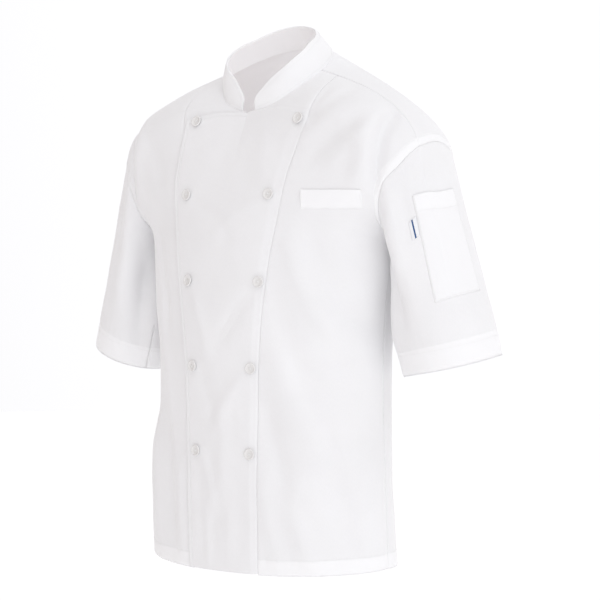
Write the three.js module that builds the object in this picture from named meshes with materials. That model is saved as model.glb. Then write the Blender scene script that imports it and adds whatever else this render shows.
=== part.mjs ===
// A short-sleeved double-breasted chef's jacket, standing open and hollow as it does when worn.
//
// Millimetres, +Z up, +X towards the wearer's left, -Y towards the wearer's front. The origin is
// the middle of the neck, level with the high points of the shoulders, where the wearer carries it.
//
// Each half of the body is a smooth patch. A patch is a list of rows from the hem upwards, and each
// row is one cubic curve: it starts at "inner" (centre line, then neckline), leaves towards
// "innerPull", arrives from "outerPull" and ends at "outer" (side seam, then armhole). "up" is the
// distance up the cloth from the hem.

import * as THREE from "three";

// Cloth and seams
const CLOTH = 1.2;
const SEAM_GAP = 0.3;
const LAYER_LIFT = 2.3;
const HEM_DEPTH = 22;
const SLEEVE_HEM_DEPTH = 25;
const POCKET_LIFT = 2.2;
const WELT_LIFT = 3.0;

// How finely each stretch of the body is divided
const BODY_ROWS = 13;
const CHEST_ROWS = 5;
const NECK_ROWS = 7;
const BACK_ROWS = 8;
const BIB_COLUMNS = 5;
const OVERLAP_COLUMNS = 5;
const SIDE_COLUMNS = 8;
const SLEEVE_ROWS = 12;

const UNDERARM = 490;
const NOTCH = 665;
const SHOULDER = 790;
const BACK_NECK = 760;
const BACK_SHOULDER = 900;

const FRONT_ROWS = [
  { up: 0, inner: [0, -124, -749], innerPull: [112, -124, -749], outerPull: [211, -74, -743], outer: [209, 0, -740] },
  { up: 130, inner: [0, -127, -612], innerPull: [110, -127, -612], outerPull: [212, -82, -610], outer: [205, -2, -608] },
  { up: 265, inner: [0, -129, -475], innerPull: [108, -129, -475], outerPull: [196, -70, -474], outer: [198, 2, -474] },
  { up: 390, inner: [0, -127, -345], innerPull: [112, -127, -345], outerPull: [203, -74, -352], outer: [203, 2, -362] },
  { up: UNDERARM, corner: "outer", inner: [0, -119, -245], innerPull: [116, -120, -245], outerPull: [214, -68, -254], outer: [214, 8, -262] },
  { up: 580, inner: [0, -99, -158], innerPull: [108, -104, -158], outerPull: [212, -92, -190], outer: [222, -42, -227] },
  { up: NOTCH, corner: "inner", inner: [0, -62, -73], innerPull: [96, -70, -60], outerPull: [202, -90, -106], outer: [236, -58, -180] },
  { up: 710, inner: [44, -54, -57], innerPull: [122, -66, -50], outerPull: [222, -76, -84], outer: [254, -43, -154] },
  { up: 750, inner: [72, -29, -32], innerPull: [136, -42, -34], outerPull: [238, -48, -66], outer: [263, -30, -138] },
  { up: SHOULDER, inner: [86, 5, -8], innerPull: [140, -6, -23], outerPull: [250, -6, -55], outer: [270, -15, -126] },
];

const BACK_ROWS_TABLE = [
  { up: 0, inner: [0, 121, -746], innerPull: [112, 121, -746], outerPull: [209, 72, -742], outer: [209, 0, -740] },
  { up: 130, inner: [0, 116, -610], innerPull: [108, 116, -610], outerPull: [203, 62, -610], outer: [205, -2, -608] },
  { up: 265, inner: [0, 114, -475], innerPull: [110, 117, -475], outerPull: [200, 74, -474], outer: [198, 2, -474] },
  { up: 390, inner: [0, 119, -345], innerPull: [112, 123, -345], outerPull: [203, 78, -354], outer: [203, 2, -362] },
  { up: UNDERARM, corner: "outer", inner: [0, 128, -240], innerPull: [116, 134, -240], outerPull: [214, 84, -254], outer: [214, 8, -262] },
  { up: 580, inner: [0, 132, -148], innerPull: [118, 140, -152], outerPull: [214, 114, -198], outer: [224, 66, -232] },
  { up: 670, inner: [0, 124, -54], innerPull: [116, 138, -72], outerPull: [220, 130, -148], outer: [240, 96, -190] },
  { up: 725, inner: [0, 110, 2], innerPull: [104, 126, -24], outerPull: [238, 122, -112], outer: [258, 96, -154] },
  { up: BACK_NECK, corner: "inner", inner: [0, 92, 36], innerPull: [84, 108, 4], outerPull: [254, 102, -86], outer: [268, 78, -134] },
  { up: 810, inner: [44, 85, 30], innerPull: [112, 84, -8], outerPull: [262, 62, -74], outer: [274, 48, -121] },
  { up: 855, inner: [72, 50, 13], innerPull: [132, 42, -10], outerPull: [262, 26, -58], outer: [274, 18, -118] },
  { up: BACK_SHOULDER, inner: [86, 5, -8], innerPull: [140, -6, -23], outerPull: [250, -6, -55], outer: [270, -15, -126] },
];

// Distance of the bib seam and of the overlapping free edge from the centre line, up the front
const BIB_EDGES = [
  { up: 0, seam: 60, free: 66 },
  { up: 265, seam: 63, free: 71 },
  { up: 390, seam: 70, free: 86 },
  { up: 490, seam: 84, free: 102 },
  { up: 580, seam: 97, free: 110 },
  { up: NOTCH, seam: 114, free: 107 },
  { up: SHOULDER, seam: 118, free: 107 },
];
const UNDER_EDGE_SHARE = 0.72;

// Sleeve: the ring at its hem and the way the arm points
const SLEEVE_HEM = { centre: [295, 39, -441], radiusX: 72, radiusY: 77 };
// A point on the line of the arm, level with the shoulder
const ARM_TOP = new THREE.Vector3(213, 35, -127);
const ARM_AXIS = new THREE.Vector3(0.26, 0.012, -0.966).normalize();
const SLEEVE_START_PULL = 95;
const SLEEVE_END_PULL = 120;
const SLEEVE_SEAM_SHARE = 0.0014;

const COLLAR = { thickness: 2.4, notch: 11 };
const COLLAR_BASE_GAP = 1.3;
// The collar's top edge. "up" counts the neckline's rows from the notch to the middle of the back
const COLLAR_TOP = [
  { up: 0.6, top: [10, -61, -57] },
  { up: 0.85, top: [12, -59, -48] },
  { up: 1.5, top: [20, -55, -37] },
  { up: 2.5, top: [33, -50, -22] },
  { up: 4.4, top: [59, -38, 2] },
  { up: 6, top: [71, -18, 24] },
  { up: 7.8, top: [69, 10, 41] },
  { up: 9.5, top: [59, 36, 52] },
  { up: 11.7, top: [36, 55, 62] },
  { up: 14, top: [0, 63, 67] },
  { up: 16.3, top: [-36, 55, 62] },
];

const BUTTON_ROWS = [
  { z: -84, left: 102, right: 87 },
  { z: -194, left: 72, right: 80 },
  { z: -321, left: 64, right: 66 },
  { z: -447, left: 53, right: 54 },
  { z: -572, left: 51, right: 47 },
];
const BUTTON = { radius: 8.6, rim: 2.0, thickness: 3.4, dish: 1.1, segments: 14 };
const BUTTON_SHANK = 0.6;

const WELT = { left: 129, right: 217, top: -186, bottom: -216 };
const SLEEVE_POCKET = { fromAngle: -61, toAngle: -2, top: 0.19, bottom: 0.745, topDrop: 0.05 };
const TAB = { width: 11, top: 0.3, bottom: 0.4 };

// Folds: soft ridges (height above zero) and troughs, each from one point to another
const FRONT_FOLDS = [
  { from: [226, -60], to: [214, -190], width: 11, height: -13 },
  { from: [205, -75], to: [193, -215], width: 22, height: 5 },
  { from: [130, -95], to: [185, -150], width: 16, height: -3 },
  { from: [165, -240], to: [150, -420], width: 18, height: 4 },
  { from: [125, -260], to: [112, -480], width: 20, height: -4 },
  { from: [120, -330], to: [180, -600], width: 20, height: -4 },
  { from: [178, -380], to: [198, -600], width: 15, height: 7 },
  { from: [80, -500], to: [150, -740], width: 24, height: -4 },
  { from: [165, -610], to: [168, -745], width: 26, height: 5 },
];
const BACK_FOLDS = [
  { from: [226, -90], to: [208, -215], width: 14, height: -8 },
  { from: [95, -190], to: [60, -520], width: 24, height: -5 },
  { from: [140, -260], to: [125, -600], width: 24, height: 5 },
  { from: [40, -380], to: [30, -740], width: 26, height: 5 },
  { from: [175, -330], to: [150, -740], width: 20, height: -5 },
];
// Sleeve folds run down the arm: place is degrees round the arm, and from and to are shares of its length
const SLEEVE_FOLDS = [
  { place: -112, drift: -8, from: 0.1, to: 0.95, width: 11, height: 5 },
  { place: -88, drift: -2, from: 0.15, to: 0.8, width: 12, height: -4 },
  { place: 95, drift: 10, from: 0.1, to: 0.9, width: 14, height: 5 },
  { place: 62, drift: 8, from: 0.2, to: 0.9, width: 14, height: -4 },
  { place: 150, drift: 6, from: 0.1, to: 1.0, width: 16, height: -5 },
];

const FABRIC = { color: 0xf4f3f3, roughness: 0.85, metalness: 0 };
const BUTTON_FINISH = { color: 0xe9e7e3, roughness: 0.45, metalness: 0 };
const TAB_FINISH = { color: 0xe3e4e8, roughness: 0.7, metalness: 0 };

// Small helpers
const vector = (list) => new THREE.Vector3(list[0], list[1], list[2]);
const clamp01 = (x) => Math.min(1, Math.max(0, x));
const smooth = (x) => clamp01(x) * clamp01(x) * (3 - 2 * clamp01(x));
const spread = (from, to, count) => Array.from({ length: count + 1 }, (_, i) => from + ((to - from) * i) / count);

// One smooth value from a table of rows, for a given distance up the cloth
// A row's "corner" names what turns sharply there, such as the neckline leaving the centre line
function tableValue(rows, up, read, key = "") {
  const last = rows.length - 1;
  let i = 0;
  while (i < last - 1 && up > rows[i + 1].up) i += 1;
  const slope = (k, other) => {
    const sharp = key !== "" && rows[k].corner === key;
    const a = sharp ? rows[Math.min(k, other)] : rows[Math.max(0, k - 1)];
    const b = sharp ? rows[Math.max(k, other)] : rows[Math.min(last, k + 1)];
    return (read(b) - read(a)) / (b.up - a.up);
  };
  const span = rows[i + 1].up - rows[i].up;
  const t = (up - rows[i].up) / span;
  const t2 = t * t;
  const t3 = t2 * t;
  return (2 * t3 - 3 * t2 + 1) * read(rows[i]) + (t3 - 2 * t2 + t) * span * slope(i, i + 1)
    + (3 * t2 - 2 * t3) * read(rows[i + 1]) + (t3 - t2) * span * slope(i + 1, i);
}

function rowPoint(rows, up, key) {
  return new THREE.Vector3(...[0, 1, 2].map((axis) => tableValue(rows, up, (row) => row[key][axis], key)));
}

// A point of a body patch on the wearer's left half, before folds
function patchPoint(rows, across, up) {
  const u = across;
  const w = 1 - across;
  const point = rowPoint(rows, up, "inner").multiplyScalar(w * w * w);
  point.addScaledVector(rowPoint(rows, up, "innerPull"), 3 * w * w * u);
  point.addScaledVector(rowPoint(rows, up, "outerPull"), 3 * w * u * u);
  return point.addScaledVector(rowPoint(rows, up, "outer"), u * u * u);
}

// Where along a row the cloth is a given distance from the centre line
function acrossAt(rows, up, x) {
  let low = 0;
  let high = 1;
  for (let step = 0; step < 30; step += 1) {
    const middle = (low + high) / 2;
    if (patchPoint(rows, middle, up).x < x) low = middle;
    else high = middle;
  }
  return (low + high) / 2;
}

// Height of all folds at a point of the cloth, with x and z in millimetres
function foldHeight(folds, x, z) {
  let height = 0;
  for (const fold of folds) {
    const [ax, az] = fold.from;
    const [bx, bz] = fold.to;
    const dx = bx - ax;
    const dz = bz - az;
    const length = Math.hypot(dx, dz);
    const along = ((x - ax) * dx + (z - az) * dz) / length;
    const off = ((x - ax) * dz - (z - az) * dx) / length;
    const ends = smooth((along + fold.width) / (length * 0.35)) * smooth((length + fold.width - along) / (length * 0.35));
    height += fold.height * Math.exp(-(off * off) / (fold.width * fold.width)) * ends;
  }
  return height;
}

const NORMAL_STEP = 0.004;
const NORMAL_STEP_UP = 3;

// A point of the front or back with its outward normal. side is 1 on the wearer's left, -1 on the right
function bodyPoint(rows, folds, side, share, up, lift) {
  const top = rows[rows.length - 1].up;
  const a = Math.min(share, 1 - NORMAL_STEP);
  const u = Math.min(up, top - NORMAL_STEP_UP);
  const origin = patchPoint(rows, a, u);
  const alongRow = patchPoint(rows, a + NORMAL_STEP, u).sub(origin);
  const upCloth = patchPoint(rows, a, u + NORMAL_STEP_UP).sub(origin);
  const normal = alongRow.cross(upCloth).normalize();
  if (rows === BACK_ROWS_TABLE) normal.negate();
  const point = patchPoint(rows, share, up);
  const edge = 1 - smooth((share - 0.94) / 0.06);
  const topEdge = 1 - smooth((up - (top - 20)) / 20);
  const height = foldHeight(folds, point.x, point.z) * edge * topEdge;
  point.addScaledVector(normal, height + lift);
  point.x *= side;
  normal.x *= side;
  return { point, normal };
}

const front = (side, share, up, lift = 0) => bodyPoint(FRONT_ROWS, FRONT_FOLDS, side, share, up, lift);
const back = (side, share, up, lift = 0) => bodyPoint(BACK_ROWS_TABLE, BACK_FOLDS, side, share, up, lift);

// A closed wall of cloth through a grid of points. keep(i, j) says which cells are cloth
function wall({ rows, columns, at, thickness, keep = () => true, round = false, inside = () => 0 }) {
  const wide = round ? columns : columns + 1;
  const positions = [];
  const made = new Map();
  const vertex = (i, j, layer) => {
    const column = round ? (j + columns) % columns : j;
    const key = (i * wide + column) * 2 + layer;
    if (!made.has(key)) {
      const { point, normal } = at(i, column);
      const reach = layer === 0 ? thickness / 2 : -thickness / 2 - inside(i);
      const p = point.clone().addScaledVector(normal, reach);
      made.set(key, positions.length / 3);
      positions.push(p.x, p.y, p.z);
    }
    return made.get(key);
  };
  const index = [];
  const quad = (a, b, c, d) => index.push(a, b, c, a, c, d);
  const cloth = (i, j) => {
    if (i < 0 || i >= rows) return false;
    if (round) return keep(i, (j + columns) % columns);
    return j >= 0 && j < columns && keep(i, j);
  };
  for (let i = 0; i < rows; i += 1) {
    for (let j = 0; j < columns; j += 1) {
      if (!cloth(i, j)) continue;
      const corners = [[i, j], [i, j + 1], [i + 1, j + 1], [i + 1, j]];
      const out = corners.map(([a, b]) => vertex(a, b, 0));
      const back4 = corners.map(([a, b]) => vertex(a, b, 1));
      quad(out[0], out[1], out[2], out[3]);
      quad(back4[3], back4[2], back4[1], back4[0]);
      const open = [!cloth(i - 1, j), !cloth(i, j + 1), !cloth(i + 1, j), !cloth(i, j - 1)];
      open.forEach((isOpen, k) => {
        const n = (k + 1) % 4;
        if (isOpen) quad(back4[k], back4[n], out[n], out[k]);
      });
    }
  }
  const geometry = new THREE.BufferGeometry();
  geometry.setAttribute("position", new THREE.Float32BufferAttribute(positions, 3));
  geometry.setIndex(index);
  return facingOut(geometry);
}

// Turns a closed mesh so that its faces point out
function facingOut(geometry) {
  const p = geometry.attributes.position;
  const index = geometry.index.array;
  const a = new THREE.Vector3();
  const b = new THREE.Vector3();
  const c = new THREE.Vector3();
  let volume = 0;
  for (let i = 0; i < index.length; i += 3) {
    a.fromBufferAttribute(p, index[i]);
    b.fromBufferAttribute(p, index[i + 1]);
    c.fromBufferAttribute(p, index[i + 2]);
    volume += a.dot(b.cross(c));
  }
  if (volume < 0) {
    for (let i = 0; i < index.length; i += 3) [index[i + 1], index[i + 2]] = [index[i + 2], index[i + 1]];
  }
  return geometry;
}

const jacket = new THREE.Group();

function addPiece(name, geometry, finish) {
  geometry.computeVertexNormals();
  const mesh = new THREE.Mesh(geometry, new THREE.MeshStandardMaterial(finish));
  mesh.name = name;
  jacket.add(mesh);
  return mesh;
}

// The rows that every front piece shares, so that seams run through the same points
const FRONT_UPS = [
  ...spread(0, UNDERARM, BODY_ROWS),
  ...spread(UNDERARM, NOTCH, CHEST_ROWS).slice(1),
  ...spread(NOTCH, SHOULDER - SEAM_GAP, NECK_ROWS).slice(1),
];
const BACK_UPS = [
  ...spread(0, UNDERARM, BODY_ROWS),
  ...spread(UNDERARM, BACK_NECK, BACK_ROWS).slice(1),
  ...spread(BACK_NECK, BACK_SHOULDER - SEAM_GAP, NECK_ROWS).slice(1),
];
const NOTCH_ROW = BODY_ROWS + CHEST_ROWS;
const BACK_NECK_ROW = BODY_ROWS + BACK_ROWS;

// One more layer inside the hem, where it is turned up
const hemFold = (ups) => (i) => (ups[i] < HEM_DEPTH ? CLOTH : 0);

const HALF_GAP_SHARE = SEAM_GAP / 2 / 250;
const seamAcross = (up) => acrossAt(FRONT_ROWS, up, tableValue(BIB_EDGES, up, (row) => row.seam));
const freeAcross = (up) => acrossAt(FRONT_ROWS, up, tableValue(BIB_EDGES, up, (row) => row.free));

function frontSide(side) {
  return wall({
    rows: FRONT_UPS.length - 1,
    columns: SIDE_COLUMNS,
    thickness: CLOTH,
    inside: hemFold(FRONT_UPS),
    at: (i, j) => {
      const start = seamAcross(FRONT_UPS[i]) + HALF_GAP_SHARE * 2;
      const across = start + ((1 - HALF_GAP_SHARE - start) * j) / SIDE_COLUMNS;
      return front(side, across, FRONT_UPS[i]);
    },
  });
}

// Height of the overlapping bib above the layer below it
function bibLift(share, seam, up) {
  const nearSeam = 1 - smooth((share / seam - 0.78) / 0.22);
  const aboveNotch = 1 - smooth((up - NOTCH) / 18);
  return LAYER_LIFT * Math.min(nearSeam, aboveNotch);
}

// A bib panel: its own side runs up to the shoulder seam, and its overlap stops level with the notch
function bib(side, freeEdge, over) {
  const columns = OVERLAP_COLUMNS + BIB_COLUMNS;
  return wall({
    rows: FRONT_UPS.length - 1,
    columns,
    thickness: CLOTH,
    inside: over ? () => 0 : hemFold(FRONT_UPS),
    keep: (i, j) => j >= OVERLAP_COLUMNS || i < NOTCH_ROW,
    at: (i, j) => {
      const up = FRONT_UPS[i];
      const seam = seamAcross(up);
      if (j < OVERLAP_COLUMNS) {
        const share = freeEdge(up) * (1 - j / OVERLAP_COLUMNS);
        return front(-side, share, up, over ? LAYER_LIFT : 0);
      }
      const share = ((seam - HALF_GAP_SHARE) * (j - OVERLAP_COLUMNS)) / BIB_COLUMNS;
      return front(side, share, up, over ? bibLift(share, seam, up) : 0);
    },
  });
}

// Half of the middle strip of the back, below the neckline, as a share of a row
const CENTRE_BACK_SHARE = 0.02;

function backPanel() {
  const seamTop = seamAcross(SHOULDER);
  const half = [...spread(0, seamTop, BIB_COLUMNS), ...spread(seamTop, 1 - HALF_GAP_SHARE, SIDE_COLUMNS).slice(1)];
  const cells = half.length - 1;
  const share = (i, n) => (n > 0 || i > BACK_NECK_ROW ? half[n] : CENTRE_BACK_SHARE);
  return wall({
    rows: BACK_UPS.length - 1,
    columns: cells * 2 + 1,
    thickness: CLOTH,
    inside: hemFold(BACK_UPS),
    keep: (i, j) => j !== cells || i < BACK_NECK_ROW,
    at: (i, j) => {
      if (j <= cells) return back(-1, share(i, cells - j), BACK_UPS[i]);
      return back(1, share(i, j - cells - 1), BACK_UPS[i]);
    },
  });
}

// The edge of the armhole as the sleeve meets it: up the front from the underarm, then down the back
function armhole(q) {
  const frontCells = CHEST_ROWS + NECK_ROWS;
  const backCells = BACK_ROWS + NECK_ROWS;
  const total = frontCells + backCells;
  const k = ((q % total) + total) % total;
  const whole = Math.floor(k);
  const pick = (index) => {
    const n = index % total;
    if (n <= frontCells) return rowPoint(FRONT_ROWS, FRONT_UPS[BODY_ROWS + n], "outer");
    return rowPoint(BACK_ROWS_TABLE, BACK_UPS[BODY_ROWS + total - n], "outer");
  };
  return pick(whole).lerp(pick(whole + 1), k - whole);
}
// The body's normal at its armhole edge, which the sleeve's first ring shares
function armholeNormal(side, j) {
  if (j <= CHEST_ROWS + NECK_ROWS) return front(side, 1, FRONT_UPS[BODY_ROWS + j]).normal;
  return back(side, 1, BACK_UPS[BODY_ROWS + SLEEVE_COLUMNS - j]).normal;
}

const SLEEVE_COLUMNS = CHEST_ROWS + NECK_ROWS + BACK_ROWS + NECK_ROWS;

const ARM_OUT = new THREE.Vector3(1, 0, 0).addScaledVector(ARM_AXIS, -ARM_AXIS.x).normalize();
const ARM_BACK = new THREE.Vector3().crossVectors(ARM_AXIS, ARM_OUT).multiplyScalar(-1).normalize();
if (ARM_BACK.y < 0) ARM_BACK.negate();

// Angle round the arm: 0 points outwards, -90 to the front and 90 to the back
function armAngle(point) {
  const arm = point.clone().sub(ARM_TOP);
  return Math.atan2(arm.dot(ARM_BACK), arm.dot(ARM_OUT));
}

function sleeveBase(q, down) {
  const start = armhole(q);
  const angle = armAngle(start);
  const end = vector(SLEEVE_HEM.centre)
    .addScaledVector(ARM_OUT, SLEEVE_HEM.radiusX * Math.cos(angle))
    .addScaledVector(ARM_BACK, SLEEVE_HEM.radiusY * Math.sin(angle));
  const startPull = start.clone().addScaledVector(ARM_AXIS, SLEEVE_START_PULL);
  const endPull = end.clone().addScaledVector(ARM_AXIS, -SLEEVE_END_PULL);
  const w = 1 - down;
  const point = start.multiplyScalar(w * w * w);
  point.addScaledVector(startPull, 3 * w * w * down);
  point.addScaledVector(endPull, 3 * w * down * down);
  return point.addScaledVector(end, down * down * down);
}

function sleeveFoldHeight(degrees, down) {
  let height = 0;
  for (const fold of SLEEVE_FOLDS) {
    let off = degrees - fold.place - fold.drift * down;
    off = ((off + 540) % 360) - 180;
    const ends = smooth((down - fold.from) / 0.25) * smooth((fold.to - down) / 0.2 + 0.3);
    height += fold.height * Math.exp(-(off * off) / (fold.width * fold.width)) * ends;
  }
  return height;
}

// A point of a sleeve with its outward normal. q counts round the armhole, down goes from 0 to 1
function sleeve(side, q, down, lift = 0) {
  const step = 0.25;
  const d = Math.min(down, 0.99);
  const round = sleeveBase(q + step, d).sub(sleeveBase(q - step, d));
  const along = sleeveBase(q, d + 0.01).sub(sleeveBase(q, d));
  const normal = round.cross(along).normalize();
  const point = sleeveBase(q, down);
  const degrees = (armAngle(armhole(q)) * 180) / Math.PI;
  if (normal.dot(point.clone().sub(armCentre(down))) < 0) normal.negate();
  point.addScaledVector(normal, sleeveFoldHeight(degrees, down) + lift);
  point.x *= side;
  normal.x *= side;
  return { point, normal };
}

function armCentre(down) {
  return ARM_TOP.clone().lerp(vector(SLEEVE_HEM.centre), down);
}

function sleeveWall(side) {
  const hemRow = 1 - SLEEVE_HEM_DEPTH / 255;
  const downs = [SLEEVE_SEAM_SHARE, ...spread(0, hemRow, SLEEVE_ROWS - 1).slice(1), 1];
  return wall({
    rows: downs.length - 1,
    columns: SLEEVE_COLUMNS,
    round: true,
    thickness: CLOTH,
    inside: (i) => (downs[i] > hemRow - 0.001 ? CLOTH : 0),
    at: (i, j) => {
      const { point, normal } = sleeve(side, j, downs[i]);
      return { point, normal: i === 0 ? armholeNormal(side, j) : normal };
    },
  });
}

// The neckline as the collar meets it, from the wearer's right front, round the back, to the left front
function neckline(k) {
  const half = NECK_ROWS * 2;
  const side = k < half ? -1 : 1;
  const n = side < 0 ? k : half * 2 - k;
  const pick = (m) => {
    if (m <= NECK_ROWS) return rowPoint(FRONT_ROWS, FRONT_UPS[NOTCH_ROW + m], "inner");
    return rowPoint(BACK_ROWS_TABLE, BACK_UPS[BACK_NECK_ROW + 2 * NECK_ROWS - m], "inner");
  };
  const whole = Math.min(Math.floor(n), half - 1);
  const point = pick(whole).lerp(pick(whole + 1), n - whole);
  point.x *= side;
  return point;
}

// A point of the collar. k counts along the neckline and share goes from its base to its top edge
function collarPoint(k, share) {
  const whole = NECK_ROWS * 4;
  const n = Math.min(k, whole - k);
  const top = new THREE.Vector3(...[0, 1, 2].map((axis) => tableValue(COLLAR_TOP, n, (row) => row.top[axis])));
  if (k < whole / 2) top.x *= -1;
  const base = neckline(k);
  base.addScaledVector(top.clone().sub(base).normalize(), COLLAR_BASE_GAP);
  return base.lerp(top, share);
}

function collar() {
  const half = NECK_ROWS * 2;
  const start = COLLAR.notch / neckline(0).distanceTo(neckline(1));
  const stops = [start, start + 0.1, start + 0.28, start + 0.6, ...spread(2, half, half - 2)];
  const places = [...stops, ...stops.slice(0, -1).reverse().map((k) => 2 * half - k)];
  const heights = [0, 0.34, 0.67, 1];
  const middle = new THREE.Vector3(0, 18, 0);
  return wall({
    rows: heights.length - 1,
    columns: places.length - 1,
    thickness: COLLAR.thickness,
    at: (i, j) => {
      const k = places[j];
      const point = collarPoint(k, heights[i]);
      const along = collarPoint(k + 0.05, heights[i]).sub(collarPoint(k - 0.05, heights[i]));
      const upwards = collarPoint(k, 1).sub(collarPoint(k, 0));
      const normal = along.cross(upwards).normalize();
      const outwards = new THREE.Vector3(point.x, point.y - middle.y, 0);
      if (normal.dot(outwards) < 0) normal.negate();
      return { point, normal };
    },
  });
}

// Where up a front the cloth is at a given height, on a given share across
function upAt(x, z) {
  let low = 0;
  let high = NOTCH;
  for (let step = 0; step < 30; step += 1) {
    const middle = (low + high) / 2;
    const across = acrossAt(FRONT_ROWS, middle, Math.abs(x));
    if (patchPoint(FRONT_ROWS, across, middle).z < z) low = middle;
    else high = middle;
  }
  return (low + high) / 2;
}

// A round button with a raised rim and a dished middle
function buttonGeometry() {
  const { radius, rim, thickness, dish, segments } = BUTTON;
  const profile = [
    [0, 0],
    [radius * 0.8, 0],
    [radius, thickness * 0.4],
    [radius - rim * 0.5, thickness],
    [radius - rim, thickness - 0.3],
    [radius - rim * 1.7, thickness - dish],
    [0, thickness - dish],
  ];
  const lathe = new THREE.LatheGeometry(profile.map(([x, y]) => new THREE.Vector2(x, y)), segments);
  return lathe.rotateX(Math.PI / 2);
}

function addButtons() {
  BUTTON_ROWS.forEach(({ z, left, right }, row) => {
    for (const [name, side, reach] of [["left", 1, left], ["right", -1, right]]) {
      const up = upAt(reach, z);
      const across = acrossAt(FRONT_ROWS, up, reach);
      // The overlapping layer comes down towards its seam, so the button clears its inner side
      const innerSide = acrossAt(FRONT_ROWS, up, reach - BUTTON.radius);
      const layer = side > 0 ? bibLift(innerSide, seamAcross(up), up) : LAYER_LIFT;
      const lift = layer + CLOTH / 2 + BUTTON_SHANK;
      const { point, normal } = front(side, across, up, lift);
      const mesh = addPiece(`button_${name}_${row + 1}`, buttonGeometry(), BUTTON_FINISH);
      mesh.position.copy(point);
      mesh.quaternion.setFromUnitVectors(new THREE.Vector3(0, 0, 1), normal);
    }
  });
}

// The chest pocket's welt lies on the left front
function chestWelt() {
  const rows = 2;
  const columns = 7;
  return wall({
    rows,
    columns,
    thickness: CLOTH,
    at: (i, j) => {
      const z = WELT.bottom + ((WELT.top - WELT.bottom) * i) / rows;
      const x = WELT.left + ((WELT.right - WELT.left) * j) / columns;
      const up = upAt(x, z);
      return front(1, acrossAt(FRONT_ROWS, up, x), up, WELT_LIFT);
    },
  });
}

// Place round the armhole that lies at a given angle of the arm
function placeAtAngle(degrees) {
  let best = 0;
  let least = Infinity;
  for (let q = 0; q < SLEEVE_COLUMNS; q += 0.02) {
    const off = Math.abs((armAngle(armhole(q)) * 180) / Math.PI - degrees);
    if (off < least) {
      least = off;
      best = q;
    }
  }
  return best;
}

// topDrop says how much further down the arm the top edge ends, beside its start
function onSleeve({ fromAngle, toAngle, top, bottom, topDrop = 0 }, rows, columns, lift) {
  return wall({
    rows,
    columns,
    thickness: CLOTH,
    at: (i, j) => {
      const q = placeAtAngle(fromAngle + ((toAngle - fromAngle) * j) / columns);
      const edge = top + (topDrop * j) / columns;
      return sleeve(1, q, bottom + ((edge - bottom) * i) / rows, lift);
    },
  });
}

addPiece("back", backPanel(), FABRIC);
addPiece("front_left", frontSide(1), FABRIC);
addPiece("front_right", frontSide(-1), FABRIC);
addPiece("bib_left", bib(1, freeAcross, true), FABRIC);
addPiece("bib_right", bib(-1, (up) => seamAcross(up) * UNDER_EDGE_SHARE, false), FABRIC);
addPiece("sleeve_left", sleeveWall(1), FABRIC);
addPiece("sleeve_right", sleeveWall(-1), FABRIC);
addPiece("collar", collar(), FABRIC);
addPiece("chest_pocket_welt", chestWelt(), FABRIC);
addPiece("sleeve_pocket", onSleeve(SLEEVE_POCKET, 8, 6, POCKET_LIFT), FABRIC);
const tabAngle = (TAB.width / 75) * (180 / Math.PI);
addPiece("label_tab", onSleeve({
  fromAngle: SLEEVE_POCKET.fromAngle - tabAngle - 0.5,
  toAngle: SLEEVE_POCKET.fromAngle - 0.5,
  top: TAB.top,
  bottom: TAB.bottom,
}, 3, 2, POCKET_LIFT), TAB_FINISH);
addButtons();

export default jacket;
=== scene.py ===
"""Looks of a short-sleeved double-breasted chef's jacket in plain white twill, shaped as worn.

Metres, +Z up, +X towards the wearer's left and -Y towards the wearer's front. Tables of the
garment's shape are in millimetres, as a pattern cutter writes them, and are turned into metres
where a mesh is made. Each panel of cloth is a fine grid laid on the same smooth patches as its
solid, with its own folds, turned hems, sunk seams and rows of stitches.
"""

import logging
import math
from collections.abc import Sequence
from dataclasses import dataclass, field
from enum import Enum

import bmesh
import bpy
import numpy as np
from mathutils import Matrix, Vector


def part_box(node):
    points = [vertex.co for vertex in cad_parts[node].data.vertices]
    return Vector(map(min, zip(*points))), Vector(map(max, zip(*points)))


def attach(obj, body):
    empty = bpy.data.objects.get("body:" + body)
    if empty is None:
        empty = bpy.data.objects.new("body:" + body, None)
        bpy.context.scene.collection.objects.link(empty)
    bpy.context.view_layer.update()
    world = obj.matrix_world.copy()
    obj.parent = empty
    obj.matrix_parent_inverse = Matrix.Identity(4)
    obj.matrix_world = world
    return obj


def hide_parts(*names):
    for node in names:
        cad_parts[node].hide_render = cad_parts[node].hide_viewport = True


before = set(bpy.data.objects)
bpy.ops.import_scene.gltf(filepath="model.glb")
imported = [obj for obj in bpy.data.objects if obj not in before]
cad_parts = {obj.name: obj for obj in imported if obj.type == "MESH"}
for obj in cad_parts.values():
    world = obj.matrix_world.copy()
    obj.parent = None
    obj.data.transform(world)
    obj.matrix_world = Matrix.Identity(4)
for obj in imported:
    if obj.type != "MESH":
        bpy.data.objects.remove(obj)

LOG = logging.getLogger("jacket")
MM = 0.001
CLOTH = 1.1
LAYER_LIFT = 2.3
HEM_DEPTH = 20.0
SLEEVE_HEM_DEPTH = 25.0
POCKET_LIFT = 1.6
WELT_LIFT = 1.7
TOPSTITCH = 6.0
BASE_STITCH = 5.0
ARMHOLE_BAND = 12.0

UNDERARM = 490.0
NOTCH = 665.0
SHOULDER = 790.0
BACK_NECK = 760.0
BACK_SHOULDER = 900.0

Triple = tuple[float, float, float]


class Side(Enum):
    """The wearer's side that a piece is on."""

    LEFT = 1
    RIGHT = -1

    @property
    def word(self) -> str:
        """The side's name as it stands in a node's name."""
        return self.name.lower()


@dataclass(frozen=True)
class Row:
    """One level curve of a body patch, from the centre front or back to the side."""

    up: float
    inner: Triple
    inner_pull: Triple
    outer_pull: Triple
    outer: Triple
    corner: str = ""


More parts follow.
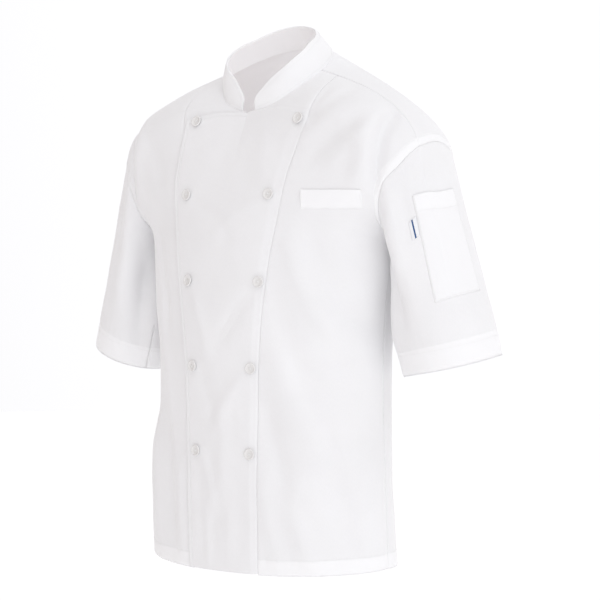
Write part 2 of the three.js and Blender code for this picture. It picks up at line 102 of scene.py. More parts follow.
FRONT_ROWS = (
    Row(0, (0, -124, -749), (112, -124, -749), (211, -74, -743), (209, 0, -740)),
    Row(130, (0, -127, -612), (110, -127, -612), (212, -82, -610), (205, -2, -608)),
    Row(265, (0, -129, -475), (108, -129, -475), (196, -70, -474), (198, 2, -474)),
    Row(390, (0, -127, -345), (112, -127, -345), (203, -74, -352), (203, 2, -362)),
    Row(UNDERARM, (0, -119, -245), (116, -120, -245), (214, -68, -254), (214, 8, -262), "outer"),
    Row(580, (0, -99, -158), (108, -104, -158), (212, -92, -190), (222, -42, -227)),
    Row(NOTCH, (0, -62, -73), (96, -70, -60), (202, -90, -106), (236, -58, -180), "inner"),
    Row(710, (44, -54, -57), (122, -66, -50), (222, -76, -84), (254, -43, -154)),
    Row(750, (72, -29, -32), (136, -42, -34), (238, -48, -66), (263, -30, -138)),
    Row(SHOULDER, (86, 5, -8), (140, -6, -23), (250, -6, -55), (270, -15, -126)),
)

BACK_ROWS = (
    Row(0, (0, 121, -746), (112, 121, -746), (209, 72, -742), (209, 0, -740)),
    Row(130, (0, 116, -610), (108, 116, -610), (203, 62, -610), (205, -2, -608)),
    Row(265, (0, 114, -475), (110, 117, -475), (200, 74, -474), (198, 2, -474)),
    Row(390, (0, 119, -345), (112, 123, -345), (203, 78, -354), (203, 2, -362)),
    Row(UNDERARM, (0, 128, -240), (116, 134, -240), (214, 84, -254), (214, 8, -262), "outer"),
    Row(580, (0, 132, -148), (118, 140, -152), (214, 114, -198), (224, 66, -232)),
    Row(670, (0, 124, -54), (116, 138, -72), (220, 130, -148), (240, 96, -190)),
    Row(725, (0, 110, 2), (104, 126, -24), (238, 122, -112), (258, 96, -154)),
    Row(BACK_NECK, (0, 92, 36), (84, 108, 4), (254, 102, -86), (268, 78, -134), "inner"),
    Row(810, (44, 85, 30), (112, 84, -8), (262, 62, -74), (274, 48, -121)),
    Row(855, (72, 50, 13), (132, 42, -10), (262, 26, -58), (274, 18, -118)),
    Row(BACK_SHOULDER, (86, 5, -8), (140, -6, -23), (250, -6, -55), (270, -15, -126)),
)

# Distance up the front, distance of the bib seam, and of the free edge, from the centre line
BIB_EDGES = (
    (0, 60, 66),
    (265, 63, 71),
    (390, 70, 86),
    (490, 84, 102),
    (580, 97, 110),
    (NOTCH, 114, 107),
    (SHOULDER, 118, 107),
)
UNDER_EDGE_SHARE = 0.72

# Rows of the neckline from the notch round to the middle of the back, and the collar's top edge there
COLLAR_TOP = (
    (0.6, (10, -61, -57)),
    (0.85, (12, -59, -48)),
    (1.5, (20, -55, -37)),
    (2.5, (33, -50, -22)),
    (4.4, (58, -39, 1)),
    (6, (67, -20, 18)),
    (7.8, (64, 6, 34)),
    (9.5, (55, 33, 46)),
    (11.7, (35, 54, 59)),
    (14, (0, 63, 65)),
    (16.3, (-35, 54, 59)),
)
NECK_SPAN = 7.0

SLEEVE_HEM_CENTRE = np.array((295.0, 39.0, -441.0))
SLEEVE_HEM_OUT = 72.0
SLEEVE_HEM_BACK = 77.0
ARM_TOP = np.array((213.0, 35.0, -127.0))
ARM_AXIS = np.array((0.26, 0.012, -0.966)) / np.linalg.norm((0.26, 0.012, -0.966))
SLEEVE_START_PULL = 95.0
SLEEVE_END_PULL = 120.0
SLEEVE_LENGTH = 255.0

# The sleeve's hem dips at one place round the arm, in degrees, and rises opposite
HEM_DIP = 8.0
HEM_RISE = 3.0
HEM_DIP_ANGLE = {Side.LEFT: -54.0, Side.RIGHT: -126.0}


@dataclass(frozen=True)
class Fold:
    """A soft ridge, or a trough where its height is below zero, from one place of the cloth to another.

    Places are x and z in millimetres. bow bends the line sideways and skew makes one flank steeper.
    """

    start: tuple[float, float]
    end: tuple[float, float]
    width: float
    height: float
    bow: float = 0.0
    skew: float = 0.0
    ease: float = 0.35

    def lift(self, x: np.ndarray, z: np.ndarray) -> np.ndarray:
        """How far the fold lifts the cloth at each place.

        Args:
            x: places across the garment.
            z: heights of those places.

        Returns:
            Lifts in millimetres.
        """
        dx, dz = self.end[0] - self.start[0], self.end[1] - self.start[1]
        length = math.hypot(dx, dz)
        along = ((x - self.start[0]) * dx + (z - self.start[1]) * dz) / length
        off = ((x - self.start[0]) * dz - (z - self.start[1]) * dx) / length
        t = np.clip(along / length, 0.0, 1.0)
        off = off - self.bow * 4.0 * t * (1.0 - t)
        width = self.width * (1.0 + self.skew * np.tanh(off / self.width))
        reach = length * self.ease
        ends = smooth((along + self.width) / reach) * smooth((length + self.width - along) / reach)
        return self.height * np.exp(-((off / width) ** 2)) * ends


# Folds of the wearer's left front, seen on the right of the picture
LEFT_FOLDS = (
    Fold((228, -62), (225, -196), 9, -12, bow=-4),
    Fold((206, -64), (203, -190), 15, 4.5, bow=-5),
    Fold((222, -72), (126, -150), 15, -2.6, bow=9, skew=0.3),
    Fold((206, -60), (108, -118), 14, 2.0, bow=6),
    Fold((232, -88), (160, -158), 12, 2.0, bow=6),
    Fold((168, -36), (118, -96), 10, -2.2, bow=3),
    Fold((128, -34), (110, -96), 8, -2.4, bow=-2),
    Fold((132, -232), (204, -412), 17, -4.4, bow=8),
    Fold((100, -240), (176, -420), 16, 3.4, bow=10, skew=-0.3),
    Fold((80, -300), (150, -500), 18, -3.2, bow=8),
    Fold((84, -410), (182, -610), 19, 5.2, bow=12, skew=0.3),
    Fold((70, -470), (142, -690), 16, -4.4, bow=12),
    Fold((192, -380), (204, -560), 13, 4.6, bow=6),
    Fold((150, -520), (186, -742), 16, -5.4, bow=-6, skew=0.3),
    Fold((196, -560), (202, -748), 10, 4.0, bow=-4),
    Fold((112, -600), (146, -750), 15, 4.8, bow=5),
    Fold((66, -590), (98, -750), 12, 2.4, bow=4),
)

# Folds of the wearer's right front, seen on the left of the picture
RIGHT_FOLDS = (
    Fold((-228, -62), (-220, -200), 9, -11, bow=4),
    Fold((-206, -66), (-198, -210), 16, 4.5, bow=5),
    Fold((-214, -84), (-140, -180), 14, -2.2, bow=-8),
    Fold((-196, -214), (-132, -360), 12, 4.2, bow=-9, skew=-0.3),
    Fold((-168, -224), (-118, -420), 11, -4.6, bow=-7),
    Fold((-150, -330), (-112, -560), 14, 4.2, bow=-4),
    Fold((-186, -380), (-168, -560), 14, -4.2, bow=5),
    Fold((-128, -470), (-108, -748), 14, -4.4, bow=-3, skew=0.3),
    Fold((-160, -520), (-146, -748), 16, 4.6, bow=4),
    Fold((-88, -580), (-84, -748), 10, 2.6),
)

# Drag lines of the overlapping bib, from its buttons and down its middle
BIB_FOLDS = (
    Fold((70, -196), (-26, -262), 13, 1.7, bow=6),
    Fold((-70, -200), (10, -256), 13, -1.5, bow=-5),
    Fold((60, -330), (-8, -420), 13, -2.8, bow=5),
    Fold((-58, -330), (-22, -440), 12, 2.8, bow=-3),
    Fold((46, -452), (-20, -560), 13, 3.0, bow=7),
    Fold((-46, -452), (-4, -556), 13, -1.9, bow=-5),
    Fold((8, -500), (2, -650), 14, 2.6, bow=3),
    Fold((-38, -566), (-14, -664), 9, 1.6, bow=-4),
    Fold((-44, -590), (-38, -744), 8, -0.9),
    Fold((-28, -650), (-26, -748), 7, 0.8),
    Fold((-10, -640), (-14, -748), 8, -0.7),
    Fold((14, -640), (10, -748), 8, 0.7),
    Fold((34, -600), (32, -748), 10, -1.0),
    Fold((0, -92), (-30, -196), 18, -1.4, bow=8),
    Fold((40, -80), (60, -180), 14, 1.4),
)

BACK_FOLDS = (
    Fold((236, -96), (212, -226), 13, -8, bow=-4),
    Fold((204, -96), (182, -250), 18, 4.0, bow=-6),
    Fold((120, -110), (60, -330), 20, -3.8, bow=8),
    Fold((150, -230), (122, -600), 21, 4.4, bow=10, skew=0.3),
    Fold((98, -300), (88, -640), 18, -4.0, bow=-6),
    Fold((48, -330), (44, -748), 24, 4.2, bow=5),
    Fold((182, -330), (160, -748), 19, -4.8, bow=6),
    Fold((-236, -96), (-212, -226), 13, -8, bow=4),
    Fold((-200, -90), (-176, -262), 18, 4.2, bow=5),
    Fold((-128, -120), (-50, -300), 20, -3.4, bow=-8),
    Fold((-142, -250), (-128, -640), 22, 4.2, bow=-8),
    Fold((-96, -260), (-70, -700), 19, -4.2, bow=-5, skew=-0.3),
    Fold((-30, -420), (-24, -748), 23, 3.8, bow=-4),
    Fold((-184, -350), (-166, -748), 18, -4.4, bow=-5),
    Fold((0, -60), (6, -260), 26, -2.4),
)


@dataclass(frozen=True)
class SleeveFold:
    """A fold that runs down a sleeve. place and drift are degrees round the arm, from and to are shares."""

    place: float
    drift: float
    start: float
    stop: float
    width: float
    height: float

    def lift(self, degrees: np.ndarray, down: np.ndarray) -> np.ndarray:
        """How far the fold lifts the sleeve at each place.

        Args:
            degrees: places round the arm.
            down: shares of the way down the sleeve.

        Returns:
            Lifts in millimetres.
        """
        off = (degrees - self.place - self.drift * down + 540.0) % 360.0 - 180.0
        ends = smooth((down - self.start) / 0.22) * smooth((self.stop - down) / 0.22 + 0.25)
        return self.height * np.exp(-((off / self.width) ** 2)) * ends


SLEEVE_FOLDS = {
    Side.LEFT: (
        SleeveFold(-92, 6, 0.02, 0.55, 8, 3.6),
        SleeveFold(-107, 2, 0.0, 0.8, 8, -5.0),
        SleeveFold(-124, -6, 0.05, 0.95, 15, 8.0),
        SleeveFold(-70, -4, 0.0, 0.4, 7, -2.4),
        SleeveFold(-36, 4, 0.0, 0.3, 9, -1.6),
        SleeveFold(96, 10, 0.1, 0.95, 13, 4.6),
        SleeveFold(68, 8, 0.15, 0.9, 12, -3.8),
        SleeveFold(150, 6, 0.1, 1.0, 16, -4.6),
    ),
    Side.RIGHT: (
        SleeveFold(-76, -6, 0.0, 0.5, 8, -3.4),
        SleeveFold(-96, 8, 0.05, 0.75, 10, 4.2),
        SleeveFold(-112, -12, 0.1, 0.95, 10, -5.0),
        SleeveFold(-134, -10, 0.15, 1.0, 12, 4.0),
        SleeveFold(98, 8, 0.1, 0.9, 14, 4.4),
        SleeveFold(66, 8, 0.2, 0.9, 13, -4.0),
        SleeveFold(152, 6, 0.1, 1.0, 16, -4.6),
    ),
}


def smooth(x: np.ndarray) -> np.ndarray:
    """A soft step from 0 to 1 as x goes from 0 to 1."""
    t = np.clip(x, 0.0, 1.0)
    return t * t * (3.0 - 2.0 * t)


def unit(v: np.ndarray) -> np.ndarray:
    """Vectors scaled to length 1 along the last axis."""
    return v / np.maximum(np.linalg.norm(v, axis=-1, keepdims=True), 1e-9)


def follow(ups: np.ndarray, values: np.ndarray, sharp: np.ndarray, at: np.ndarray) -> np.ndarray:
    """One smooth curve through a table's values.

    Args:
        ups: the table's places, rising.
        values: one row of numbers for each place.
        sharp: which places turn sharply.
        at: places that are asked for.

    Returns:
        One row of numbers for each place asked for.
    """
    last = len(ups) - 1
    i = np.clip(np.searchsorted(ups, at, side="left") - 1, 0, last - 1)

    def slope(k: np.ndarray, other: np.ndarray) -> np.ndarray:
        """The curve's slope at rows of the table, from one side only where it turns sharply.

        Args:
            k: the rows.
            other: the row at the far end of each span.

        Returns:
            The slopes.
        """
        low = np.where(sharp[k], np.minimum(k, other), np.maximum(0, k - 1))
        high = np.where(sharp[k], np.maximum(k, other), np.minimum(last, k + 1))
        return (values[high] - values[low]) / (ups[high] - ups[low])[:, None]

    span = (ups[i + 1] - ups[i])[:, None]
    t = ((at - ups[i]) / span[:, 0])[:, None]
    t2, t3 = t * t, t * t * t
    start, stop = values[i], values[i + 1]
    leave, arrive = slope(i, i + 1), slope(i + 1, i)
    curve = (2 * t3 - 3 * t2 + 1) * start + (t3 - 2 * t2 + t) * span * leave
    return curve + (3 * t2 - 2 * t3) * stop + (t3 - t2) * span * arrive


class Patch:
    """Half of the body's front or back, as a smooth surface."""

    def __init__(self, rows: Sequence[Row]) -> None:
        """Reads the level curves of the patch.

        Args:
            rows: the table's rows, from the lowest.
        """
        self.ups = np.array([row.up for row in rows], float)
        self.keys = ("inner", "inner_pull", "outer_pull", "outer")
        self.values = {key: np.array([getattr(row, key) for row in rows], float) for key in self.keys}
        self.sharp = {key: np.array([row.corner == key for row in rows]) for key in self.keys}

    def edge(self, key: str, ups: np.ndarray) -> np.ndarray:
        """One column of control points at distances up the cloth."""
        return follow(self.ups, self.values[key], self.sharp[key], ups)

    def points(self, ups: np.ndarray, shares: np.ndarray) -> np.ndarray:
        """Points of the patch.

        Args:
            ups: distances up the cloth, one for each row.
            shares: shares across, either one list for all rows or one for each row.

        Returns:
            Points in millimetres, by row and column.
        """
        a, b, c, d = (self.edge(key, ups)[:, None, :] for key in self.keys)
        u = np.broadcast_to(shares, (len(ups), np.shape(shares)[-1]))[..., None]
        w = 1.0 - u
        return w**3 * a + 3 * w * w * u * b + 3 * w * u * u * c + u**3 * d

    def share_at(self, ups: np.ndarray, x: np.ndarray) -> np.ndarray:
        """The share across at which each row is a given distance from the centre line.

        Args:
            ups: the rows' distances up the cloth.
            x: the distance in each row.

        Returns:
            The shares.
        """
        dense = np.linspace(0.0, 1.0, 241)
        line = self.points(ups, dense)[..., 0]
        return np.array([np.interp(x[i], line[i], dense) for i in range(len(ups))])

    def spaced(self, ups: np.ndarray, first: np.ndarray, final: np.ndarray, cells: int,
               near_first: Sequence[float], near_final: Sequence[float]) -> np.ndarray:
        """Shares of columns that are evenly spaced along the cloth, with fine ones near its edges.

        Args:
            ups: distances up the cloth.
            first: the first share of each row.
            final: the last share of each row.
            cells: how many cells the middle stretch has.
            near_first: distances of the fine columns from the first edge.
            near_final: distances of the fine columns from the last edge.

        Returns:
            Shares by row and column.
        """
        steps = np.linspace(0.0, 1.0, 161)
        dense = first[:, None] + (final - first)[:, None] * steps[None, :]
        line = self.points(ups, dense)
        run = np.linalg.norm(np.diff(line, axis=1), axis=-1)
        length = np.concatenate([np.zeros((len(ups), 1)), np.cumsum(run, axis=1)], axis=1)
        out = []
        for i in range(len(ups)):
            whole = length[i, -1]
            middle = np.linspace(near_first[-1], whole - near_final[-1], cells + 1)
            tail = [whole - d for d in reversed(near_final[:-1])]
            places = np.concatenate([near_first[:-1], middle, tail])
            out.append(np.interp(places, length[i], dense[i]))
        return np.array(out)


FRONT = Patch(FRONT_ROWS)
BACK = Patch(BACK_ROWS)
EDGE_TABLE = np.array(BIB_EDGES, float)
NO_SHARP = np.zeros(len(BIB_EDGES), bool)


def bib_edge(ups: np.ndarray, column: int) -> np.ndarray:
    """Shares of the bib seam, column 1, or of the free edge, column 2, at distances up the front."""
    x = follow(EDGE_TABLE[:, 0], EDGE_TABLE[:, column:column + 1], NO_SHARP, ups)[:, 0]
    return FRONT.share_at(ups, x)


def grid_normals(points: np.ndarray, outwards: Triple | np.ndarray) -> np.ndarray:
    """Normals of a grid of points, on the side that faces outwards.

    Args:
        points: the grid, by row and column.
        outwards: one direction, or one for each point, that lies on the outer side.

    Returns:
        Unit normals by row and column.
    """
    across = np.gradient(points, axis=1)
    up = np.gradient(points, axis=0)
    normals = unit(np.cross(across, up))
    facing = np.sum(normals * np.asarray(outwards, float), axis=-1)
    if np.sum(facing) < 0:
        normals = -normals
    return normals


def ripple(x: np.ndarray, z: np.ndarray, seed: int, size: float) -> np.ndarray:
    """Small uneven waves of worn cloth, about 1 high at their largest.

    Args:
        x: places across.
        z: places up.
        seed: a number that picks the waves.
        size: the usual distance between two waves, in millimetres.

    Returns:
        Heights of about -1 to 1.
    """
    turn = np.random.default_rng(seed)
    total = np.zeros_like(x)
    bend = 0.8 * np.sin(x / (size * 1.7) + seed) + 0.8 * np.sin(z / (size * 2.3) + 2.0 * seed)
    for _ in range(9):
        angle = turn.uniform(-1.0, 1.0) * 1.1 + math.pi / 2.0
        pitch = size * turn.uniform(0.7, 1.9)
        phase = turn.uniform(0.0, 2.0 * math.pi)
        run = (x * math.sin(angle) + z * math.cos(angle)) * 2.0 * math.pi / pitch
        total += np.sin(run + phase + bend * turn.uniform(0.6, 1.6))
    return total / 5.0


def pucker(along: np.ndarray, off: np.ndarray, seed: int, height: float = 0.35,
           pitch: float = 10.0) -> np.ndarray:
    """The small gathers beside a row of stitches.

    Args:
        along: distances along the seam.
        off: distances from it.
        seed: a number that shifts the gathers.
        height: their greatest height in millimetres.
        pitch: the usual distance between two gathers.

    Returns:
        Lifts in millimetres.
    """
    wave = np.sin(along * 2 * math.pi / pitch + 1.7 * np.sin(along / 37.0 + seed))
    swell = 0.6 + 0.4 * np.sin(along / 53.0 + 2.1 * seed)
    return height * wave * swell * np.exp(-np.abs(off) / 9.0)


def sink(off: np.ndarray, depth: float, width: float) -> np.ndarray:
    """How far the cloth sinks at a distance from a seam or a row of stitches."""
    return -depth * np.exp(-((off / width) ** 2))


def row_places(top: float, step: float, extra: Sequence[float]) -> np.ndarray:
    """Distances up the cloth: even steps, and fine ones at the places named.

    Args:
        top: the height of the last row.
        step: the distance between two even rows.
        extra: places that have a row of their own.

    Returns:
        The rows' distances, rising.
    """
    even = np.linspace(0.0, top, int(round(top / step)) + 1)
    fine = np.array(sorted(extra), float)
    clear = [v for v in even if np.min(np.abs(fine - v)) > step * 0.45] if len(fine) else list(even)
    return np.array(sorted([*clear, *fine]))


# Rows of the strip that a hem turns up inside: share of its depth, and distance off the panel
HEM_STRIP = ((1.08, -1.9), (0.66, -1.9), (0.33, -1.9), (0.09, -1.9), (0.0, -1.6), (-0.035, -0.8))


def hem_rows(ups: np.ndarray, depth: float) -> tuple[np.ndarray, np.ndarray]:
    """Adds the turned-up strip inside a hem.

    Args:
        ups: distances up the cloth, from the hem.
        depth: how deep the strip is.

    Returns:
        Distances up the cloth, and how far each row lies off the panel.
    """
    rows = [(share * depth, off) for share, off in HEM_STRIP] + [(u, 0.0) for u in ups]
    return np.array([r[0] for r in rows]), np.array([r[1] for r in rows])


def cloth_area(points: np.ndarray, keep: np.ndarray) -> float:
    """Area of a grid's cloth in square metres.

    Args:
        points: the grid's points in millimetres.
        keep: which of its cells are cloth.

    Returns:
        The area.
    """
    a = points[1:, 1:] - points[:-1, :-1]
    b = points[1:, :-1] - points[:-1, 1:]
    cells = 0.5 * np.linalg.norm(np.cross(a, b), axis=-1)
    return float(np.sum(cells * keep)) * MM * MM


@dataclass
class Seam:
    """Rows of stitches that show on a panel, each a line of points with the cloth's direction there."""

    name: str
    pitch: float = 3.1
    radius: float = 0.24
    lines: list[tuple[np.ndarray, np.ndarray]] = field(default_factory=list)

    def add(self, points: np.ndarray, normals: np.ndarray, rise: float) -> None:
        """Adds a row of stitches at a height above the middle of the cloth.

        Args:
            points: the line that it follows.
            normals: the cloth's direction along it.
            rise: the height.
        """
        self.lines.append((points + normals * rise, normals))

    def build(self, material: bpy.types.Material) -> None:
        """Makes every stitch as a short rounded rod with its ends sunk in the cloth.

        Args:
            material: the finish of the thread.
        """
        bm = bmesh.new()
        for points, normals in self.lines:
            run = run_along(points[None], 1)[0]
            count = max(1, int(run[-1] / self.pitch))
            starts = (np.arange(count) + 0.5 * (run[-1] / self.pitch - count) + 0.12) * self.pitch
            for start in starts:
                ends = [self.at(points, run, start), self.at(points, run, start + self.pitch * 0.76)]
                up = unit(self.at(normals, run, start + self.pitch * 0.38))
                self.rod(bm, ends[0], ends[1], up)
        for face in bm.faces:
            face.smooth = True
        mesh = bpy.data.meshes.new(self.name)
        bm.to_mesh(mesh)
        bm.free()
        mesh.materials.append(material)
        obj = bpy.data.objects.new(self.name, mesh)
        bpy.context.scene.collection.objects.link(obj)
        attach(obj, "root")

    def at(self, values: np.ndarray, run: np.ndarray, place: float) -> np.ndarray:
        """Reads a line of values at a distance along it."""
        return np.array([np.interp(place, run, values[:, k]) for k in range(3)])

    def rod(self, bm: bmesh.types.BMesh, start: np.ndarray, end: np.ndarray, up: np.ndarray) -> None:
        """Adds one stitch, thick in its middle and thin at its ends.

        Args:
            bm: the seam's mesh.
            start: one end in millimetres.
            end: the other end.
            up: the cloth's direction there.
        """
        along = Vector((end - start).tolist())
        centre = Vector(((start + end) / 2.0).tolist()) * MM
        turn = along.to_track_quat("Z", "Y").to_matrix().to_4x4()
        lift = Vector(up.tolist()) * self.radius * 0.3 * MM
        for way in (1.0, -1.0):
            half = Matrix.Translation(centre + lift) @ turn @ Matrix.Diagonal((1.0, 1.0, way, 1.0))
            half = half @ Matrix.Translation((0.0, 0.0, along.length * MM / 4.0))
            made = bmesh.ops.create_cone(
                bm, cap_ends=False, segments=5, radius1=self.radius * MM,
                radius2=self.radius * 0.55 * MM, depth=along.length * MM / 2.0, matrix=half)
            if way < 0:
                faces = {face for vert in made["verts"] for face in vert.link_faces}
                bmesh.ops.reverse_faces(bm, faces=list(faces))


def edge_line(panel: "Panel", distance: float, rows: slice = slice(None), columns: slice = slice(None),
              upward: bool = False, from_end: bool = False) -> tuple[np.ndarray, np.ndarray]:
    """A line on a panel that keeps one distance from an edge.

    Args:
        panel: the panel.
        distance: how far from the edge, in millimetres along the cloth.
        rows: the rows that count.
        columns: the columns that count.
        upward: whether the distance is measured up the rows and not across the columns.
        from_end: whether it is measured from the last row or column.

    Returns:
        Points and directions of the line.
    """
    points, normals = panel.points[rows, columns], panel.normals[rows, columns]
    if upward:
        points, normals = points.swapaxes(0, 1), normals.swapaxes(0, 1)
    run = run_along(points, 1)
    place = run[:, -1] - distance if from_end else np.full(len(run), distance)
    line = [[np.interp(place[i], run[i], grid[i, :, k]) for k in range(3)]
            for grid in (points, normals) for i in range(len(run))]
    both = np.array(line).reshape(2, len(run), 3)
    return both[0], unit(both[1])


@dataclass
class Panel:
    """A piece of cloth as a grid of points, with what its node and its cut need."""

    name: str
    points: np.ndarray
    normals: np.ndarray
    uv: np.ndarray
    keep: np.ndarray
    thickness: float = CLOTH
    node: str = ""
    slot: str = "cloth"
    held: str = "hung"
    first_row: int = 0
    # Share of painted light on each point: doubled cloth is painted lighter, for the shaded inside that shows
    # less through two layers
    doubled_painted_light: np.ndarray | None = None

    @property
    def outside(self) -> slice:
        """Rows of the panel without those of its turned-up strip."""
        return slice(self.first_row, None)

    def rows_between(self, low: float, high: float) -> slice:
        """Rows of the outside whose distance up the cloth lies between two limits.

        Args:
            low: the lower limit in millimetres.
            high: the upper limit.

        Returns:
            The rows.
        """
        climb = self.uv[self.first_row:, self.uv.shape[1] // 2, 1]
        inside = np.nonzero((climb >= low) & (climb <= high))[0] + self.first_row
        return slice(int(inside[0]), int(inside[-1]) + 1)

    def mesh_object(self, material: bpy.types.Material) -> bpy.types.Object:
        """Makes the panel from a bmesh grid.

        Args:
            material: the finish of the cloth.

        Returns:
            The panel's object.
        """
        rows, columns = self.points.shape[:2]
        bm = bmesh.new()
        bmesh.ops.create_grid(bm, x_segments=columns - 1, y_segments=rows - 1, size=1.0)
        places = []
        for v in bm.verts:
            j = int(round((v.co.x + 1.0) / 2.0 * (columns - 1)))
            i = int(round((v.co.y + 1.0) / 2.0 * (rows - 1)))
            places.append((i, j))

        def corner(face: bmesh.types.BMFace) -> tuple[int, int]:
            """The row and column of a face's lowest corner."""
            return min(places[v.index][0] for v in face.verts), min(places[v.index][1] for v in face.verts)

        chart = bm.loops.layers.uv.new("cloth")
        bm.verts.index_update()
        dropped = []
        for face in bm.faces:
            if not self.keep[corner(face)]:
                dropped.append(face)
                continue
            face.smooth = True
            for loop in face.loops:
                loop[chart].uv = self.uv[places[loop.vert.index]] * MM
        flat = (self.points * MM).tolist()
        # Each point's share of the painted lightening of doubled cloth
        painted_light_layer = bm.verts.layers.float.new("doubled_painted_light")
        for v in bm.verts:
            v[painted_light_layer] = 0.0 if self.doubled_painted_light is None else float(self.doubled_painted_light[places[v.index]])
        for v in bm.verts:
            i, j = places[v.index]
            v.co = flat[i][j]
        faces = [face for face in bm.faces if self.keep[corner(face)]]
        middle = faces[len(faces) // 2]
        middle.normal_update()
        outward = Vector(self.normals[places[middle.verts[0].index]].tolist())
        turned = middle.normal.dot(outward) < 0
        bmesh.ops.delete(bm, geom=dropped, context="FACES")
        bmesh.ops.remove_doubles(bm, verts=bm.verts[:], dist=2e-6)
        if turned:
            bmesh.ops.reverse_faces(bm, faces=bm.faces[:])
        mesh = bpy.data.meshes.new(self.name)
        bm.to_mesh(mesh)
        bm.free()
        obj = bpy.data.objects.new(self.name, mesh)
        bpy.context.scene.collection.objects.link(obj)
        obj.data.materials.append(material)
        wall = obj.modifiers.new("wall", "SOLIDIFY")
        wall.thickness = self.thickness * MM
        wall.offset = 0.0
        return obj

    def dress(self, material: bpy.types.Material, rests_on: Sequence[str] = ()) -> bpy.types.Object:
        """Makes the panel, hides the part that it stands for and logs the size of its cloth.

        Args:
            material: the finish of the cloth.
            rests_on: pieces that carry it; not used.

        Returns:
            The panel's object.
        """
        obj = self.mesh_object(material)
        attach(obj, "root")
        if self.node:
            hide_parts(self.node)
        area = cloth_area(self.points, self.keep)
        across = np.linalg.norm(np.diff(self.points, axis=1), axis=-1)
        upwards = np.linalg.norm(np.diff(self.points, axis=0), axis=-1)
        width = float(np.max(np.sum(across[1:] * self.keep, axis=1))) * MM
        length = float(np.max(np.sum(upwards[:, 1:] * self.keep, axis=0))) * MM
        area = min(area, width * length)
        LOG.info("%s: %.3f by %.3f m, %.4f square metres", self.name, width, length, area)
        return obj


class Body:
    """Where the body's panels lie, with folds, on each side of the garment."""

    def __init__(self) -> None:
        """Keeps the lists of folds."""
        self.front_folds = LEFT_FOLDS + RIGHT_FOLDS

    def front_lift(self, points: np.ndarray, share: np.ndarray, ups: np.ndarray) -> np.ndarray:
        """Height of the front's folds and small waves at points of the plain form.

        Args:
            points: the points, on the wearer's left or right.
            share: how far each is from the centre to the side.
            ups: each row's distance up the cloth.

        Returns:
            The heights.
        """
        x, z = points[..., 0], points[..., 2]
        edge = 1.0 - smooth((share - 0.95) / 0.05)
        top = 1.0 - smooth((ups[:, None] - (SHOULDER - 14.0)) / 14.0)
        folds = sum(fold.lift(x, z) for fold in self.front_folds)
        return (folds + 0.42 * ripple(x, z, 3, 62.0)) * edge * top

    def back_lift(self, points: np.ndarray, share: np.ndarray, ups: np.ndarray) -> np.ndarray:
        """Height of the back's folds and small waves at points of the plain form.

        Args:
            points: the points.
            share: how far each is from the centre to the side.
            ups: each row's distance up the cloth.

        Returns:
            The heights.
        """
        x, z = points[..., 0], points[..., 2]
        edge = 1.0 - smooth((share - 0.95) / 0.05)
        top = 1.0 - smooth((ups[:, None] - (BACK_SHOULDER - 20.0)) / 20.0)
        folds = sum(fold.lift(x, z) for fold in BACK_FOLDS)
        return (folds + 0.42 * ripple(x, z, 8, 66.0)) * edge * top


BODY = Body()


def mirrored(points: np.ndarray, side: Side) -> np.ndarray:
    """Points on the wearer's left, or their mirror images on the right."""
    return points * np.array((side.value, 1.0, 1.0))


def run_along(points: np.ndarray, axis: int) -> np.ndarray:
    """Distance along each row or column of a grid, from its first point.

    Args:
        points: the grid.
        axis: 0 along its columns, 1 along its rows.

    Returns:
        The distances.
    """
    run = np.linalg.norm(np.diff(points, axis=axis), axis=-1)
    total = np.cumsum(run, axis=axis)
    shape = list(total.shape)
    shape[axis] = 1
    return np.concatenate([np.zeros(shape), total], axis=axis)


